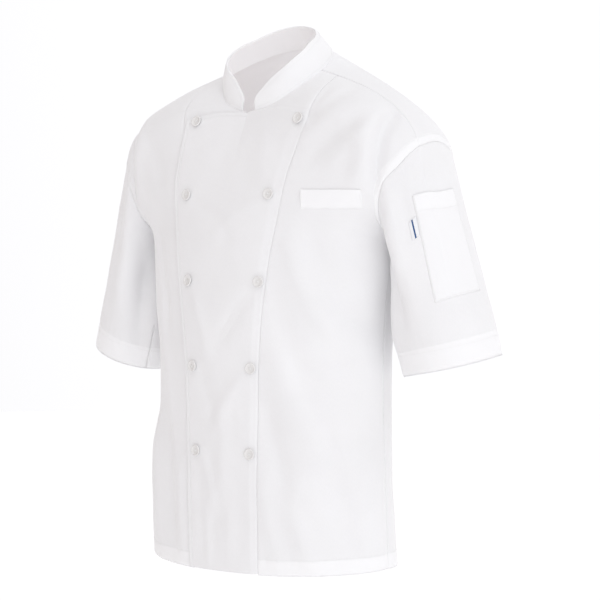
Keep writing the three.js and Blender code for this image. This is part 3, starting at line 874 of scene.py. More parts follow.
@dataclass
class FrontPanel:
    """A side front, from the bib seam to the side seam and the armhole."""

    side: Side
    cells: int = 58
    step: float = 3.6

    def build(self) -> Panel:
        """Lays the panel's grid on the front patch, with its hem, folds and seams."""
        extra = [0.6, 2.0, 4.5, HEM_DEPTH - 1.4, HEM_DEPTH, HEM_DEPTH + 1.4,
                 SHOULDER - 6, SHOULDER - 3, SHOULDER - 1.4, SHOULDER - 0.3]
        ups, off = hem_rows(row_places(SHOULDER - 0.3, self.step, extra)[1:], HEM_DEPTH)
        first = bib_edge(ups, 1)
        final = np.full(len(ups), 0.9995)
        near = [0.15, 0.9, 2.0, 4.0, 8.0]
        near_side = [0.15, 0.9, 2.2, 4.6, 8.0, 11.1, 12.0, 12.9, 15.0]
        shares = FRONT.spaced(ups, first, final, self.cells, near, near_side)
        flat = FRONT.points(ups, shares)
        base = mirrored(flat, self.side)
        normals = grid_normals(base[6:], (self.side.value * 0.4, -1.0, 0.2))
        normals = np.concatenate([np.repeat(normals[:1], 6, axis=0), normals])
        from_seam = run_along(flat, 1)
        to_side = from_seam[:, -1:] - from_seam
        climb = np.broadcast_to(ups[:, None], shares.shape)
        lift = BODY.front_lift(base, shares, ups)
        lift = lift + sink(from_seam, 0.6, 1.3) + sink(to_side, 0.7, 1.3)
        lift = lift + pucker(climb, from_seam, 2) + 0.8 * pucker(climb, to_side, 5)
        above = smooth((ups[:, None] - UNDERARM - 8) / 10.0)
        lift = lift + (sink(to_side - ARMHOLE_BAND, 0.45, 0.9) - sink(to_side - 4.6, 0.5, 2.6)) * above
        lift = lift + sink(ups[:, None] - HEM_DEPTH, 0.55, 1.2) + sink(SHOULDER - ups[:, None], 1.2, 1.6)
        lift = lift + pucker(from_seam, ups[:, None] - HEM_DEPTH, 4, 0.3, 13.0)
        points = base + normals * (lift + off[:, None])[..., None]
        uv = np.stack([from_seam, climb], axis=-1)
        keep = np.ones((len(ups) - 1, shares.shape[1] - 1), bool)
        name = f"front_{self.side.word}_cloth"
        # Painted lightening on the turned hem and the armhole band, where the cloth is doubled
        hem = 1.0 - smooth((ups[:, None] - HEM_DEPTH) / 1.5)
        # The band's painted lightening is cut to a fifth on the wearer's right, the shaded side, where a
        # shadow lies along the armhole
        strength = 1.0 if self.side is Side.LEFT else 0.2
        band = (1.0 - smooth((to_side - ARMHOLE_BAND) / 1.5)) * above * strength
        return Panel(name, points, normals, uv, keep, node=f"front_{self.side.word}",
                     first_row=len(HEM_STRIP),
                     doubled_painted_light=np.maximum(hem, band))


@dataclass
class BibPanel:
    """A centre front: its own side up to the shoulder seam, and its overlap, which ends at the notch."""

    side: Side
    over: bool
    cells: int = 34
    step: float = 3.4

    def free_share(self, ups: np.ndarray) -> np.ndarray:
        """Share of the free edge on the other side of the centre line."""
        return bib_edge(ups, 2) if self.over else bib_edge(ups, 1) * UNDER_EDGE_SHARE

    def build(self) -> Panel:
        """Lays the panel's grid on both halves of the front."""
        extra = [0.5, 1.5, 4.0, NOTCH - 7.6, NOTCH - TOPSTITCH, NOTCH - 4.6, NOTCH - 2.0, NOTCH - 0.6, NOTCH,
                 NOTCH + 1.5, SHOULDER - 4, SHOULDER - 1.5, SHOULDER - 0.3]
        ups = row_places(SHOULDER - 0.3, self.step, extra)
        notch_row = int(np.argmin(np.abs(ups - NOTCH)))
        seam = bib_edge(ups, 1)
        zero = np.zeros(len(ups))
        own = FRONT.spaced(ups, zero, seam, self.cells, [0.0, 1.2, 3.0], [0.15, 0.9, 2.0, 4.0, 8.0])
        lap_final = self.free_share(np.minimum(ups, NOTCH))
        near_edge = [0.0, 0.7, 2.0, 4.8, 6.0, 7.2, 9.0]
        lap = FRONT.spaced(ups, zero, lap_final, self.cells, [0.0, 1.2, 3.0], near_edge)
        own_points = mirrored(FRONT.points(ups, own), self.side)
        lap_points = mirrored(FRONT.points(ups, lap), Side(-self.side.value))[:, ::-1]
        base = np.concatenate([lap_points[:, :-1], own_points], axis=1)
        share = np.concatenate([lap[:, ::-1][:, :-1], own], axis=1)
        centre = lap.shape[1] - 1
        normals = self.even_normals(base, centre, notch_row)
        lift = BODY.front_lift(base, share, ups)
        if self.over:
            lift = lift + self.drag(base, ups) + self.layer(share, seam, ups, centre)
        across = run_along(base, 1)
        off_seam = across[:, -1:] - across
        off_free = across
        climb = np.broadcast_to(ups[:, None], share.shape)
        lift = lift + sink(off_seam, 0.5, 1.1) - sink(off_seam - 3.0, 0.35, 2.0) + pucker(climb, off_seam, 3)
        if self.over:
            lift = lift + sink(off_free - TOPSTITCH, 0.35, 0.9) - 0.5 * sink(off_free - 2.6, 0.5, 2.0)
            below = 1.0 - smooth((across - across[:, centre:centre + 1]) / 6.0)
            lift = lift + sink(ups[:, None] - (NOTCH - TOPSTITCH), 0.35, 0.9) * below
            lift = lift + pucker(climb, off_free, 6, 0.3, 12.0)
        lift = lift + sink(SHOULDER - ups[:, None], 1.2, 1.6)
        points = base + normals * lift[..., None]
        keep = np.ones((len(ups) - 1, share.shape[1] - 1), bool)
        keep[notch_row:, :centre] = False
        uv = np.stack([across, climb], axis=-1)
        return Panel(f"bib_{self.side.word}_cloth", points, normals, uv, keep, node=f"bib_{self.side.word}")

    def even_normals(self, base: np.ndarray, centre: int, notch_row: int) -> np.ndarray:
        """Normals worked out apart above and below the notch, where the neckline leaves the centre.

        Args:
            base: the bib's points on the plain form.
            centre: the column of the centre line.
            notch_row: the row of the notch.

        Returns:
            The normals.
        """
        out = (0.0, -1.0, 0.3)
        below = grid_normals(base[:notch_row + 1], out)
        above = grid_normals(base[notch_row:, centre:], (self.side.value * 0.4, -0.7, 0.6))
        normals = np.repeat(below[-1:], len(base), axis=0)
        normals[:notch_row + 1] = below
        normals[notch_row + 1:, centre:] = above[1:]
        return normals

    def layer(self, share: np.ndarray, seam: np.ndarray, ups: np.ndarray, centre: int) -> np.ndarray:
        """Height of the upper layer above the lower one.

        Args:
            share: how far each point is from the centre to the side.
            seam: the share of the bib's seam in each row.
            ups: each row's distance up the cloth.
            centre: the column of the centre line.

        Returns:
            The heights.
        """
        near_seam = 1.0 - smooth((share / seam[:, None] - 0.78) / 0.22)
        near_seam[:, :centre] = 1.0
        above = 1.0 - smooth((ups[:, None] - NOTCH) / 18.0)
        return LAYER_LIFT * np.minimum(near_seam, above)

    def drag(self, base: np.ndarray, ups: np.ndarray) -> np.ndarray:
        """Drag lines between the buttons, and small waves of the cloth.

        Args:
            base: the bib's points on the plain form.
            ups: each row's distance up the cloth.

        Returns:
            Lifts in millimetres.
        """
        x, z = base[..., 0], base[..., 2]
        lines = sum(fold.lift(x, z) for fold in BIB_FOLDS)
        return lines + 0.3 * ripple(x, z, 21, 34.0) * (1.0 - smooth((ups[:, None] - 640) / 40))


@dataclass
class BackPanel:
    """The whole back, from side seam to side seam, with the shoulders that come forward to the seam."""

    cells: int = 66
    step: float = 4.2

    def build(self) -> Panel:
        """Lays the two halves of the back side by side, parted above the neckline."""
        extra = [0.6, 2.0, 4.5, HEM_DEPTH - 1.4, HEM_DEPTH, HEM_DEPTH + 1.4, BACK_NECK - 3, BACK_NECK,
                 BACK_NECK + 3, BACK_SHOULDER - 6, BACK_SHOULDER - 3, BACK_SHOULDER - 1.4,
                 BACK_SHOULDER - 0.3]
        ups, off = hem_rows(row_places(BACK_SHOULDER - 0.3, self.step, extra)[1:], HEM_DEPTH)
        neck_row = int(np.argmin(np.abs(ups - BACK_NECK)))
        near = [0.15, 0.9, 2.2, 4.6, 8.0, 11.1, 12.0, 12.9, 15.0]
        half = BACK.spaced(ups, np.zeros(len(ups)), np.full(len(ups), 0.9995), self.cells, [0.0, 2.0], near)
        flat = BACK.points(ups, half)
        from_neck = run_along(flat, 1)
        to_side = from_neck[:, -1:] - from_neck
        halves = []
        for side in (Side.RIGHT, Side.LEFT):
            base = mirrored(flat, side)
            normals = grid_normals(base[6:], (side.value * 0.3, 1.0, 0.3))
            normals = np.concatenate([np.repeat(normals[:1], 6, axis=0), normals])
            normals[:neck_row, 0, 0] = 0.0
            normals = unit(normals)
            lift = BODY.back_lift(base, half, ups)
            lift = lift + sink(to_side, 1.0, 1.3) + 0.8 * pucker(ups[:, None] + 0 * to_side, to_side, 7)
            above = smooth((ups[:, None] - UNDERARM - 8) / 10.0)
            lift = lift + (sink(to_side - ARMHOLE_BAND, 0.45, 0.9) - sink(to_side - 4.6, 0.5, 2.6)) * above
            lift = lift + sink(ups[:, None] - HEM_DEPTH, 0.55, 1.2)
            lift = lift + sink(BACK_SHOULDER - ups[:, None], 1.2, 1.6)
            lift = lift + pucker(side.value * from_neck, ups[:, None] - HEM_DEPTH, 9, 0.3, 13.0)
            points = base + normals * (lift + off[:, None])[..., None]
            uv = np.stack([side.value * from_neck, ups[:, None] + 0 * to_side], axis=-1)
            # Painted lightening on the turned hem and along the armhole bands, where the cloth is doubled
            hem = 1.0 - smooth((ups[:, None] - HEM_DEPTH) / 1.5)
            band = (1.0 - smooth((to_side - ARMHOLE_BAND) / 1.5)) * above
            halves.append((points, normals, uv, np.maximum(hem, band)))
        join = [np.concatenate([halves[0][k][:, ::-1], halves[1][k]], axis=1) for k in range(4)]
        columns = join[0].shape[1]
        centre = half.shape[1] - 1
        keep = np.ones((len(ups) - 1, columns - 1), bool)
        keep[neck_row:, centre] = False
        return Panel("back_cloth", join[0], join[1], join[2], keep, node="back", first_row=len(HEM_STRIP),
                     doubled_painted_light=join[3])


class Arm:
    """The tube of a sleeve on the wearer's left, worked out from the armhole and the sleeve's hem."""

    def __init__(self, columns: int = 168) -> None:
        """Finds the armhole's edge, evenly spaced, and the angle of each place round the arm.

        Args:
            columns: the number of places round the arm.
        """
        ups = np.linspace(UNDERARM, SHOULDER - 0.3, 120)
        front = FRONT.edge("outer", ups)
        ups = np.linspace(BACK_SHOULDER - 0.3, UNDERARM, 160)
        back = BACK.edge("outer", ups)
        loop = np.concatenate([front, back[:-1]])
        closed = np.concatenate([loop, loop[:1]])
        run = np.concatenate([[0.0], np.cumsum(np.linalg.norm(np.diff(closed, axis=0), axis=1))])
        self.length = float(run[-1])
        places = np.linspace(0.0, self.length, columns + 1)
        self.edge = np.stack([np.interp(places, run, closed[:, k]) for k in range(3)], axis=1)
        self.out = unit(np.array((1.0, 0.0, 0.0)) - ARM_AXIS * ARM_AXIS[0])
        self.rear = np.cross(ARM_AXIS, self.out)
        if self.rear[1] < 0:
            self.rear = -self.rear
        arm = self.edge - ARM_TOP
        self.angle = np.degrees(np.arctan2(arm @ self.rear, arm @ self.out))

    def points(self, downs: np.ndarray, side: Side = Side.LEFT) -> np.ndarray:
        """Points of the plain tube.

        Args:
            downs: shares down the arm, one for each row.
            side: which sleeve's hem it has; both are given as on the wearer's left.

        Returns:
            Points by row down the arm and column round it.
        """
        turn = np.radians(self.angle)[:, None]
        outwards = SLEEVE_HEM_OUT * np.cos(turn) * self.out
        end = SLEEVE_HEM_CENTRE + outwards + SLEEVE_HEM_BACK * np.sin(turn) * self.rear
        facing = np.cos(turn - math.radians(HEM_DIP_ANGLE[side]))
        end = end + ARM_AXIS * (HEM_DIP * np.clip(facing, 0, 1) ** 1.5 - HEM_RISE * np.clip(-facing, 0, 1))
        start_pull = self.edge + ARM_AXIS * SLEEVE_START_PULL
        end_pull = end - ARM_AXIS * SLEEVE_END_PULL
        d = downs[:, None, None]
        w = 1.0 - d
        return w**3 * self.edge + 3 * w * w * d * start_pull + 3 * w * d * d * end_pull + d**3 * end

    def outwards(self, points: np.ndarray) -> np.ndarray:
        """Directions from the middle line of the arm to points."""
        off = points - ARM_TOP
        return off - (off @ ARM_AXIS)[..., None] * ARM_AXIS

    def lift(self, side: Side, downs: np.ndarray) -> np.ndarray:
        """Height of a sleeve's folds and small waves.

        Args:
            side: the wearer's side.
            downs: each row's share of the way down the sleeve.

        Returns:
            The heights.
        """
        degrees = self.angle[None, :]
        down = downs[:, None]
        folds = sum(fold.lift(degrees, down) for fold in SLEEVE_FOLDS[side])
        seed = 31 if side is Side.LEFT else 37
        calm = smooth(down / 0.12)
        waves = ripple(degrees * 1.35 + 0 * down, down * SLEEVE_LENGTH + 0 * degrees, seed, 46.0)
        blend = 0.5 + 0.5 * np.cos(np.radians(degrees - 178.0))
        return folds * smooth(down / 0.06) + 0.38 * waves * calm * (1.0 - blend**6)


ARM = Arm()


@dataclass
class Sleeve:
    """A short sleeve, all round the arm, with its turned hem."""

    side: Side
    rows: int = 74

    def build(self) -> Panel:
        """Lays the sleeve's grid round the arm."""
        hem = SLEEVE_HEM_DEPTH
        extra = [0.6, 2.0, 4.5, hem - 1.4, hem, hem + 1.4, SLEEVE_LENGTH - 5, SLEEVE_LENGTH - 2.2,
                 SLEEVE_LENGTH - 0.9, SLEEVE_LENGTH - 0.35]
        ups, off = hem_rows(row_places(SLEEVE_LENGTH - 0.35, SLEEVE_LENGTH / self.rows, extra)[1:], hem)
        downs = 1.0 - ups / SLEEVE_LENGTH
        flat = ARM.points(downs, self.side)
        outer = ARM.outwards(flat)
        normals = grid_normals(flat[6:], outer[6:])
        normals[:, 0] = normals[:, -1] = unit(normals[:, 0] + normals[:, -1])
        normals = np.concatenate([np.repeat(normals[:1], 6, axis=0), normals])
        around = run_along(flat, 1)
        lift = ARM.lift(self.side, downs) + sink(SLEEVE_LENGTH - ups[:, None], 0.9, 1.4)
        lift = lift + 0.9 * pucker(around, SLEEVE_LENGTH - ups[:, None], 12)
        lift = lift + sink(ups[:, None] - hem, 0.5, 1.2) + pucker(around, ups[:, None] - hem, 13, 0.3, 12.0)
        points = flat + normals * (lift + off[:, None])[..., None]
        uv = np.stack([around, ups[:, None] + 0 * around], axis=-1)
        keep = np.ones((len(ups) - 1, flat.shape[1] - 1), bool)
        # Painted lightening on the turned hem, where the cloth is doubled
        hem_painted_light = 1.0 - smooth((ups[:, None] - hem) / 1.5) + 0 * around
        name = f"sleeve_{self.side.word}_cloth"
        return Panel(name, mirrored(points, self.side), mirrored(normals, self.side), uv, keep,
                     node=f"sleeve_{self.side.word}", first_row=len(HEM_STRIP), doubled_painted_light=hem_painted_light)


@dataclass
class Collar:
    """The stand collar: two layers of cloth with a turned top edge and a row of stitches round it."""

    notch: float = 11.0
    thickness: float = 2.4
    columns: int = 170
    base_gap: float = -0.6

    def neckline(self, k: np.ndarray) -> np.ndarray:
        """Points of the neckline on the wearer's left, by rows counted from the notch.

        Args:
            k: the rows, up the front and then down the back.

        Returns:
            The points.
        """
        front_up = NOTCH + (SHOULDER - NOTCH) * np.clip(k, -1, NECK_SPAN) / NECK_SPAN
        past = 2.0 - np.clip(k, NECK_SPAN, 2 * NECK_SPAN) / NECK_SPAN
        back_up = BACK_NECK + (BACK_SHOULDER - BACK_NECK) * past
        front = FRONT.edge("inner", front_up)
        back = BACK.edge("inner", back_up)
        return np.where((k <= NECK_SPAN)[:, None], front, back)

    def top(self, k: np.ndarray) -> np.ndarray:
        """Points of the top edge on the wearer's left.

        Args:
            k: the rows, as in the neckline.

        Returns:
            The points.
        """
        ks = np.array([row[0] for row in COLLAR_TOP], float)
        values = np.array([row[1] for row in COLLAR_TOP], float)
        return follow(ks, values, np.zeros(len(ks), bool), k)

    def build(self) -> Panel:
        """Lays the collar's grid: up the outside, over the top edge and down the inside."""
        half = 2 * NECK_SPAN
        first = self.notch / 17.9
        side = np.concatenate([[first, first + 0.04, first + 0.1, first + 0.18, first + 0.3],
                               np.linspace(first + 0.45, half, self.columns // 2)])
        k = np.concatenate([side, side[:-1][::-1]])
        sign = np.concatenate([-np.ones(len(side) - 1), [1.0], np.ones(len(side) - 1)])
        base, top = self.neckline(k), self.top(k)
        base[:, 0] *= sign
        top[:, 0] *= sign
        base[len(side) - 1, 0] = top[len(side) - 1, 0] = 0.0
        base = base + unit(top - base) * self.base_gap
        height = np.linalg.norm(top - base, axis=1)
        shares = np.array([0.0, 0.02, 0.06, 0.1, 0.15, 0.22, 0.3, 0.4, 0.5, 0.6, 0.7, 0.78, 0.84, 0.88, 0.92,
                           0.96, 0.985, 1.0])
        grid = base[None] + (top - base)[None] * shares[:, None, None]
        away = grid - np.array((0.0, 18.0, 0.0))
        away[..., 2] = 0.0
        normals = grid_normals(grid, away)
        from_top = (1.0 - shares)[:, None] * height[None, :]
        from_base = shares[:, None] * height[None, :]
        along = run_along(grid, 1)
        bulge = 1.6 * np.sin(math.pi * shares)[:, None] * smooth(height / 40.0)[None, :]
        wave = 0.35 * ripple(along, from_top, 44, 40.0) * np.sin(math.pi * shares)[:, None]
        seams = sink(from_top - TOPSTITCH, 0.3, 1.0) + sink(from_base - BASE_STITCH, 0.3, 1.0)
        seams = seams + sink(from_base, 0.5, 1.2)
        from_end = np.minimum(along, along[:, -1:] - along)
        round_off = np.sqrt(np.clip(1.0 - (1.0 - np.minimum(from_end, 1.6) / 1.6) ** 2, 0.03, 1.0))
        half_thick = 0.5 * self.thickness * round_off
        seams = seams + sink(from_end - TOPSTITCH, 0.3, 1.0)
        outside = grid + normals * (bulge + wave + seams + half_thick)[..., None]
        inside = grid + normals * (bulge + wave - half_thick)[..., None]
        crown = grid[-1:] + unit(top - base)[None] * 0.9
        points = np.concatenate([outside, crown, inside[::-1]])
        turned = np.concatenate([normals, normals[-1:], -normals[::-1]])
        climb = np.concatenate([from_base, from_base[-1:] + 1.0, from_base[-1:] * 2 - from_base[::-1]])
        uv = np.stack([np.concatenate([along, along[-1:], along[::-1]]), climb], axis=-1)
        keep = np.ones((points.shape[0] - 1, points.shape[1] - 1), bool)
        # The collar is painted lighter throughout, as doubled cloth that shows less of the shaded inside
        return Panel("collar_cloth", points, turned, uv, keep, thickness=0.5, node="collar",
                     doubled_painted_light=np.full(points.shape[:2], 0.8))


@dataclass
class Welt:
    """The welt of the chest pocket, stitched at its outer end and along its lower edge."""

    left: float = 122.0
    right: float = 208.0
    top: float = -187.5
    bottom: float = -216.0

    def build(self) -> Panel:
        """Lays the welt on the wearer's left front."""
        wide, high = self.right - self.left, self.top - self.bottom
        near = [0.0, 0.6, 1.6, 2.4, 3.2]
        xs = np.array([*near, *np.linspace(6, wide - 6, 26), *[wide - d for d in reversed(near)]]) + self.left
        zs = np.array([0.0, 0.5, 1.3, 2.1, 3.0, *np.linspace(5, high - 5, 9), high - 2.5, high - 0.7, high])
        zs = zs + self.bottom
        ups = np.linspace(430.0, 640.0, 300)
        points = np.zeros((len(zs), len(xs), 3))
        dense = np.linspace(0.0, 1.0, 241)
        grid = FRONT.points(ups, dense)
        for j, x in enumerate(xs):
            share = np.array([np.interp(x, grid[i, :, 0], dense) for i in range(len(ups))])
            line = np.array([FRONT.points(ups[i:i + 1], share[i:i + 1])[0, 0] for i in range(len(ups))])
            for k in range(3):
                points[:, j, k] = np.interp(zs, line[:, 2], line[:, k])
        normals = grid_normals(points, (0.4, -1.0, 0.1))
        share = np.full(points.shape[:2], 0.6)
        lift = BODY.front_lift(points, share, np.full(len(zs), 560.0))
        across = (xs - self.left)[None, :]
        climb = (zs - self.bottom)[:, None]
        rise = smooth((climb - 2.0) / 26.0)
        waves = ripple(xs[None, :] + 0 * climb, climb + 0 * across, 51, 22.0)
        lift = lift + WELT_LIFT - 1.1 * (1 - rise) + 0.25 * waves
        for edge in (across - wide + 2.2, climb - 1.9):
            lift = lift + sink(edge, 0.4, 0.8)
        lift = lift + sink(wide - across, 1.1, 1.0) + sink(climb, 1.1, 1.0) - sink(across, 0.5, 5.0)
        out = points + normals * lift[..., None]
        uv = np.stack([across + 0 * climb, climb + 0 * across], axis=-1)
        keep = np.ones((len(zs) - 1, len(xs) - 1), bool)
        # The welt is painted lighter all over, as doubled cloth
        return Panel("chest_pocket_welt_cloth", out, normals, uv, keep, thickness=0.9,
                     node="chest_pocket_welt",
                     doubled_painted_light=np.ones(out.shape[:2]))


@dataclass
class SleevePatch:
    """A patch of cloth that lies on the wearer's left sleeve, such as its pocket."""

    name: str
    node: str
    from_angle: float
    to_angle: float
    top: float
    bottom: float
    top_drop: float = 0.0
    top_bow: float = 0.0
    lift: float = POCKET_LIFT
    hem: float = 25.0
    slot: str = "cloth"
    columns: int = 44
    rows: int = 62

    def build(self) -> Panel:
        """Lays the patch on the tube of the sleeve."""
        arm_angles = ARM.angle
        order = np.argsort(arm_angles)
        place = np.interp(np.linspace(self.from_angle, self.to_angle, self.columns + 1), arm_angles[order],
                          np.arange(len(arm_angles))[order].astype(float))
        downs = np.linspace(0.0, 1.0, 241)
        tube = ARM.points(downs)
        normals = grid_normals(tube, ARM.outwards(tube))
        folds = ARM.lift(Side.LEFT, downs)
        share = np.linspace(0.0, 1.0, self.columns + 1)
        edge = self.top + self.top_drop * share + self.top_bow * np.sin(math.pi * share)
        up = np.linspace(0.0, 1.0, self.rows + 1)
        down = self.bottom + (edge[None, :] - self.bottom) * up[:, None]
        points = self.sample(tube, place, down)
        direction = unit(self.sample(normals, place, down))
        base = self.sample(folds[..., None], place, down)[..., 0]
        across = run_along(points, 1)
        climb = run_along(points, 0)
        width, height = across[:, -1:], climb[-1:, :]
        near = np.minimum(np.minimum(across, width - across), climb)
        lift = base + self.lift + 0.3 * ripple(across, climb, 61, 30.0) * smooth(near / 14.0)
        lift = lift + sink(near, 1.1, 1.2) + sink(near - 2.6, 0.35, 0.9)
        # Pocket and tab are painted lighter as doubled cloth, and the pocket's turned top lighter still
        tone = np.full(points.shape[:2], 0.6)
        if self.hem > 0:
            from_top = height - climb
            lift = lift + sink(from_top - self.hem, 0.5, 1.3) + 0.35 * smooth((self.hem - from_top) / 4.0)
            tone = tone + 0.4 * smooth((self.hem - from_top) / 1.5)
        out = points + direction * lift[..., None]
        uv = np.stack([across, climb], axis=-1)
        keep = np.ones((self.rows, self.columns), bool)
        return Panel(self.name, out, direction, uv, keep, thickness=0.8, node=self.node, slot=self.slot,
                     doubled_painted_light=tone)

    def sample(self, grid: np.ndarray, place: np.ndarray, down: np.ndarray) -> np.ndarray:
        """Reads a grid of the sleeve between its rows and columns.

        Args:
            grid: points or normals of the sleeve.
            place: columns, with their fractions.
            down: shares of the way down the sleeve.

        Returns:
            The values there.
        """
        rows = grid.shape[0] - 1
        i = np.clip(down * rows, 0, rows - 1e-6)
        low = i.astype(int)
        t = (i - low)[..., None]
        column = np.clip(place, 0, grid.shape[1] - 1 - 1e-6)
        left = column.astype(int)[None, :] + 0 * low
        s = (column - column.astype(int))[None, :, None]
        first = grid[low, left] * (1 - t) + grid[low + 1, left] * t
        second = grid[low, left + 1] * (1 - t) + grid[low + 1, left + 1] * t
        return first * (1 - s) + second * s


@dataclass
class Buttons:
    """Round buttons with a raised rim, a dished middle and thread crossed over it."""

    rows: tuple[tuple[float, float, float], ...] = (
        (-84, 102, 87), (-194, 72, 80), (-321, 64, 66), (-447, 53, 54), (-572, 51, 47))
    radius: float = 8.6
    thickness: float = 3.4
    segments: int = 56

    def profile(self) -> list[tuple[float, float]]:
        """The button's half section, from its back to its middle, as radius and height."""
        r, t = self.radius, self.thickness
        return [(0.0, 0.0), (r * 0.74, 0.0), (r * 0.84, 0.25), (r * 0.94, 0.9), (r * 0.99, 1.7), (r, 2.2),
                (r * 0.975, 2.75), (r * 0.93, 3.15), (r * 0.87, t), (r * 0.8, t - 0.05), (r * 0.73, t - 0.4),
                (r * 0.67, t - 0.95), (r * 0.6, t - 1.35), (r * 0.5, t - 1.55), (r * 0.25, t - 1.5),
                (0.0, t - 1.45)]

    def build(self, finish: bpy.types.Material, thread: bpy.types.Material) -> None:
        """Makes every button and its thread.

        Args:
            finish: the finish of the plastic.
            thread: the finish of the thread.
        """
        for number, (z, left, right) in enumerate(self.rows, start=1):
            for side, reach in ((Side.LEFT, left), (Side.RIGHT, right)):
                self.one(side, number, z, reach, finish, thread)

    def one(self, side: Side, number: int, z: float, reach: float, finish: bpy.types.Material,
            thread: bpy.types.Material) -> None:
        """Makes one button where its node is.

        Args:
            side: the wearer's side.
            number: the row, from the top.
            z: the height of its middle.
            reach: its distance from the centre line.
            finish: the finish of the plastic.
            thread: the finish of the thread.
        """
        node = f"button_{side.word}_{number}"
        low, high = (np.array(v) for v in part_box(node))
        normal = self.seat(side, z, reach)
        bm = bmesh.new()
        ring = [bm.verts.new((r * MM, 0.0, h * MM)) for r, h in self.profile()]
        edges = [bm.edges.new(pair) for pair in zip(ring[:-1], ring[1:])]
        bmesh.ops.spin(bm, geom=[*ring, *edges], cent=(0, 0, 0), axis=(0, 0, 1), angle=2 * math.pi,
                       steps=self.segments, use_merge=True)
        bmesh.ops.remove_doubles(bm, verts=bm.verts[:], dist=1e-6)
        bmesh.ops.recalc_face_normals(bm, faces=bm.faces[:])
        turn = Vector((0, 0, 1)).rotation_difference(Vector(normal.tolist())).to_matrix().to_4x4()
        middle = (low + high) / 2.0 - normal * self.thickness * MM / 2.0
        move = Matrix.Translation(Vector(middle.tolist())) @ turn
        bmesh.ops.transform(bm, matrix=move, verts=bm.verts[:])
        self.finish_piece(bm, f"{node}_plastic", node, finish)
        self.sew(node, move, thread)

    def sew(self, node: str, move: Matrix, thread: bpy.types.Material) -> None:
        """Crosses thread over the middle of a button.

        Args:
            node: the button's name.
            move: how the button was placed.
            thread: the finish of the thread.
        """
        bm = bmesh.new()
        level = (self.thickness - 1.25) * MM
        for angle in (math.radians(40), math.radians(130)):
            for shift in (-0.35, 0.0, 0.35):
                along = Matrix.Rotation(angle, 4, "Z") @ Matrix.Translation((0, shift * MM, level))
                rod = along @ Matrix.Rotation(math.pi / 2, 4, "Y") @ Matrix.Diagonal((0.6, 1.0, 1.0, 1.0))
                bmesh.ops.create_cone(bm, cap_ends=True, segments=8, radius1=0.22 * MM, radius2=0.22 * MM,
                                      depth=3.6 * MM, matrix=move @ rod)
        self.finish_piece(bm, f"{node}_thread", "", thread)

    def finish_piece(self, bm: bmesh.types.BMesh, name: str, node: str,
                     material: bpy.types.Material) -> None:
        """Turns a bmesh into a piece that rides on the jacket.

        Args:
            bm: the mesh, which is freed.
            name: the piece's name.
            node: the node that it stands for, or nothing.
            material: its finish.
        """
        for face in bm.faces:
            face.smooth = True
        mesh = bpy.data.meshes.new(name)
        bm.to_mesh(mesh)
        bm.free()
        mesh.materials.append(material)
        obj = bpy.data.objects.new(name, mesh)
        bpy.context.scene.collection.objects.link(obj)
        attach(obj, "root")
        if node:
            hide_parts(node)

    def seat(self, side: Side, z: float, reach: float) -> np.ndarray:
        """Direction of the front's cloth below a button.

        Args:
            side: the wearer's side.
            z: the height of the button's middle.
            reach: its distance from the centre line.

        Returns:
            The direction.
        """
        ups = np.linspace(120.0, NOTCH, 500)
        share = FRONT.share_at(ups, np.full(len(ups), reach))
        line = np.array([FRONT.points(ups[i:i + 1], share[i:i + 1])[0, 0] for i in range(0, len(ups), 5)])
        k = int(np.argmin(np.abs(line[:, 2] - z))) * 5
        up = ups[k]
        local = FRONT.points(np.array([up - 2, up + 2]), np.array([share[k] - 0.01, share[k] + 0.01]))
        across = local[0, 1] - local[0, 0]
        upward = local[1, 0] - local[0, 0]
        normal = unit(np.cross(across, upward))
        if normal[1] > 0:
            normal = -normal
        return normal * (side.value, 1, 1)


class Nodes:
    """Short ways to add and join shader nodes."""

    def __init__(self, tree: bpy.types.NodeTree) -> None:
        """Keeps the tree."""
        self.tree = tree

    def add(self, kind: str, **values: object) -> bpy.types.Node:
        """Adds a node and sets its properties.

        Args:
            kind: the node's type.
            values: its properties by name.

        Returns:
            The node.
        """
        node = self.tree.nodes.new(kind)
        for key, value in values.items():
            setattr(node, key, value)
        return node

    def link(self, source: bpy.types.NodeSocket, target: bpy.types.NodeSocket) -> None:
        """Joins two sockets."""
        self.tree.links.new(source, target)

    def maths(self, operation: str, first: object, second: object = 0.0) -> bpy.types.NodeSocket:
        """Adds a calculation with two values, each a number or a socket.

        Args:
            operation: the kind of calculation.
            first: the first value.
            second: the second value.

        Returns:
            The result's socket.
        """
        node = self.add("ShaderNodeMath", operation=operation)
        for i, value in enumerate((first, second)):
            if isinstance(value, bpy.types.NodeSocket):
                self.link(value, node.inputs[i])
            else:
                node.inputs[i].default_value = value
        return node.outputs[0]


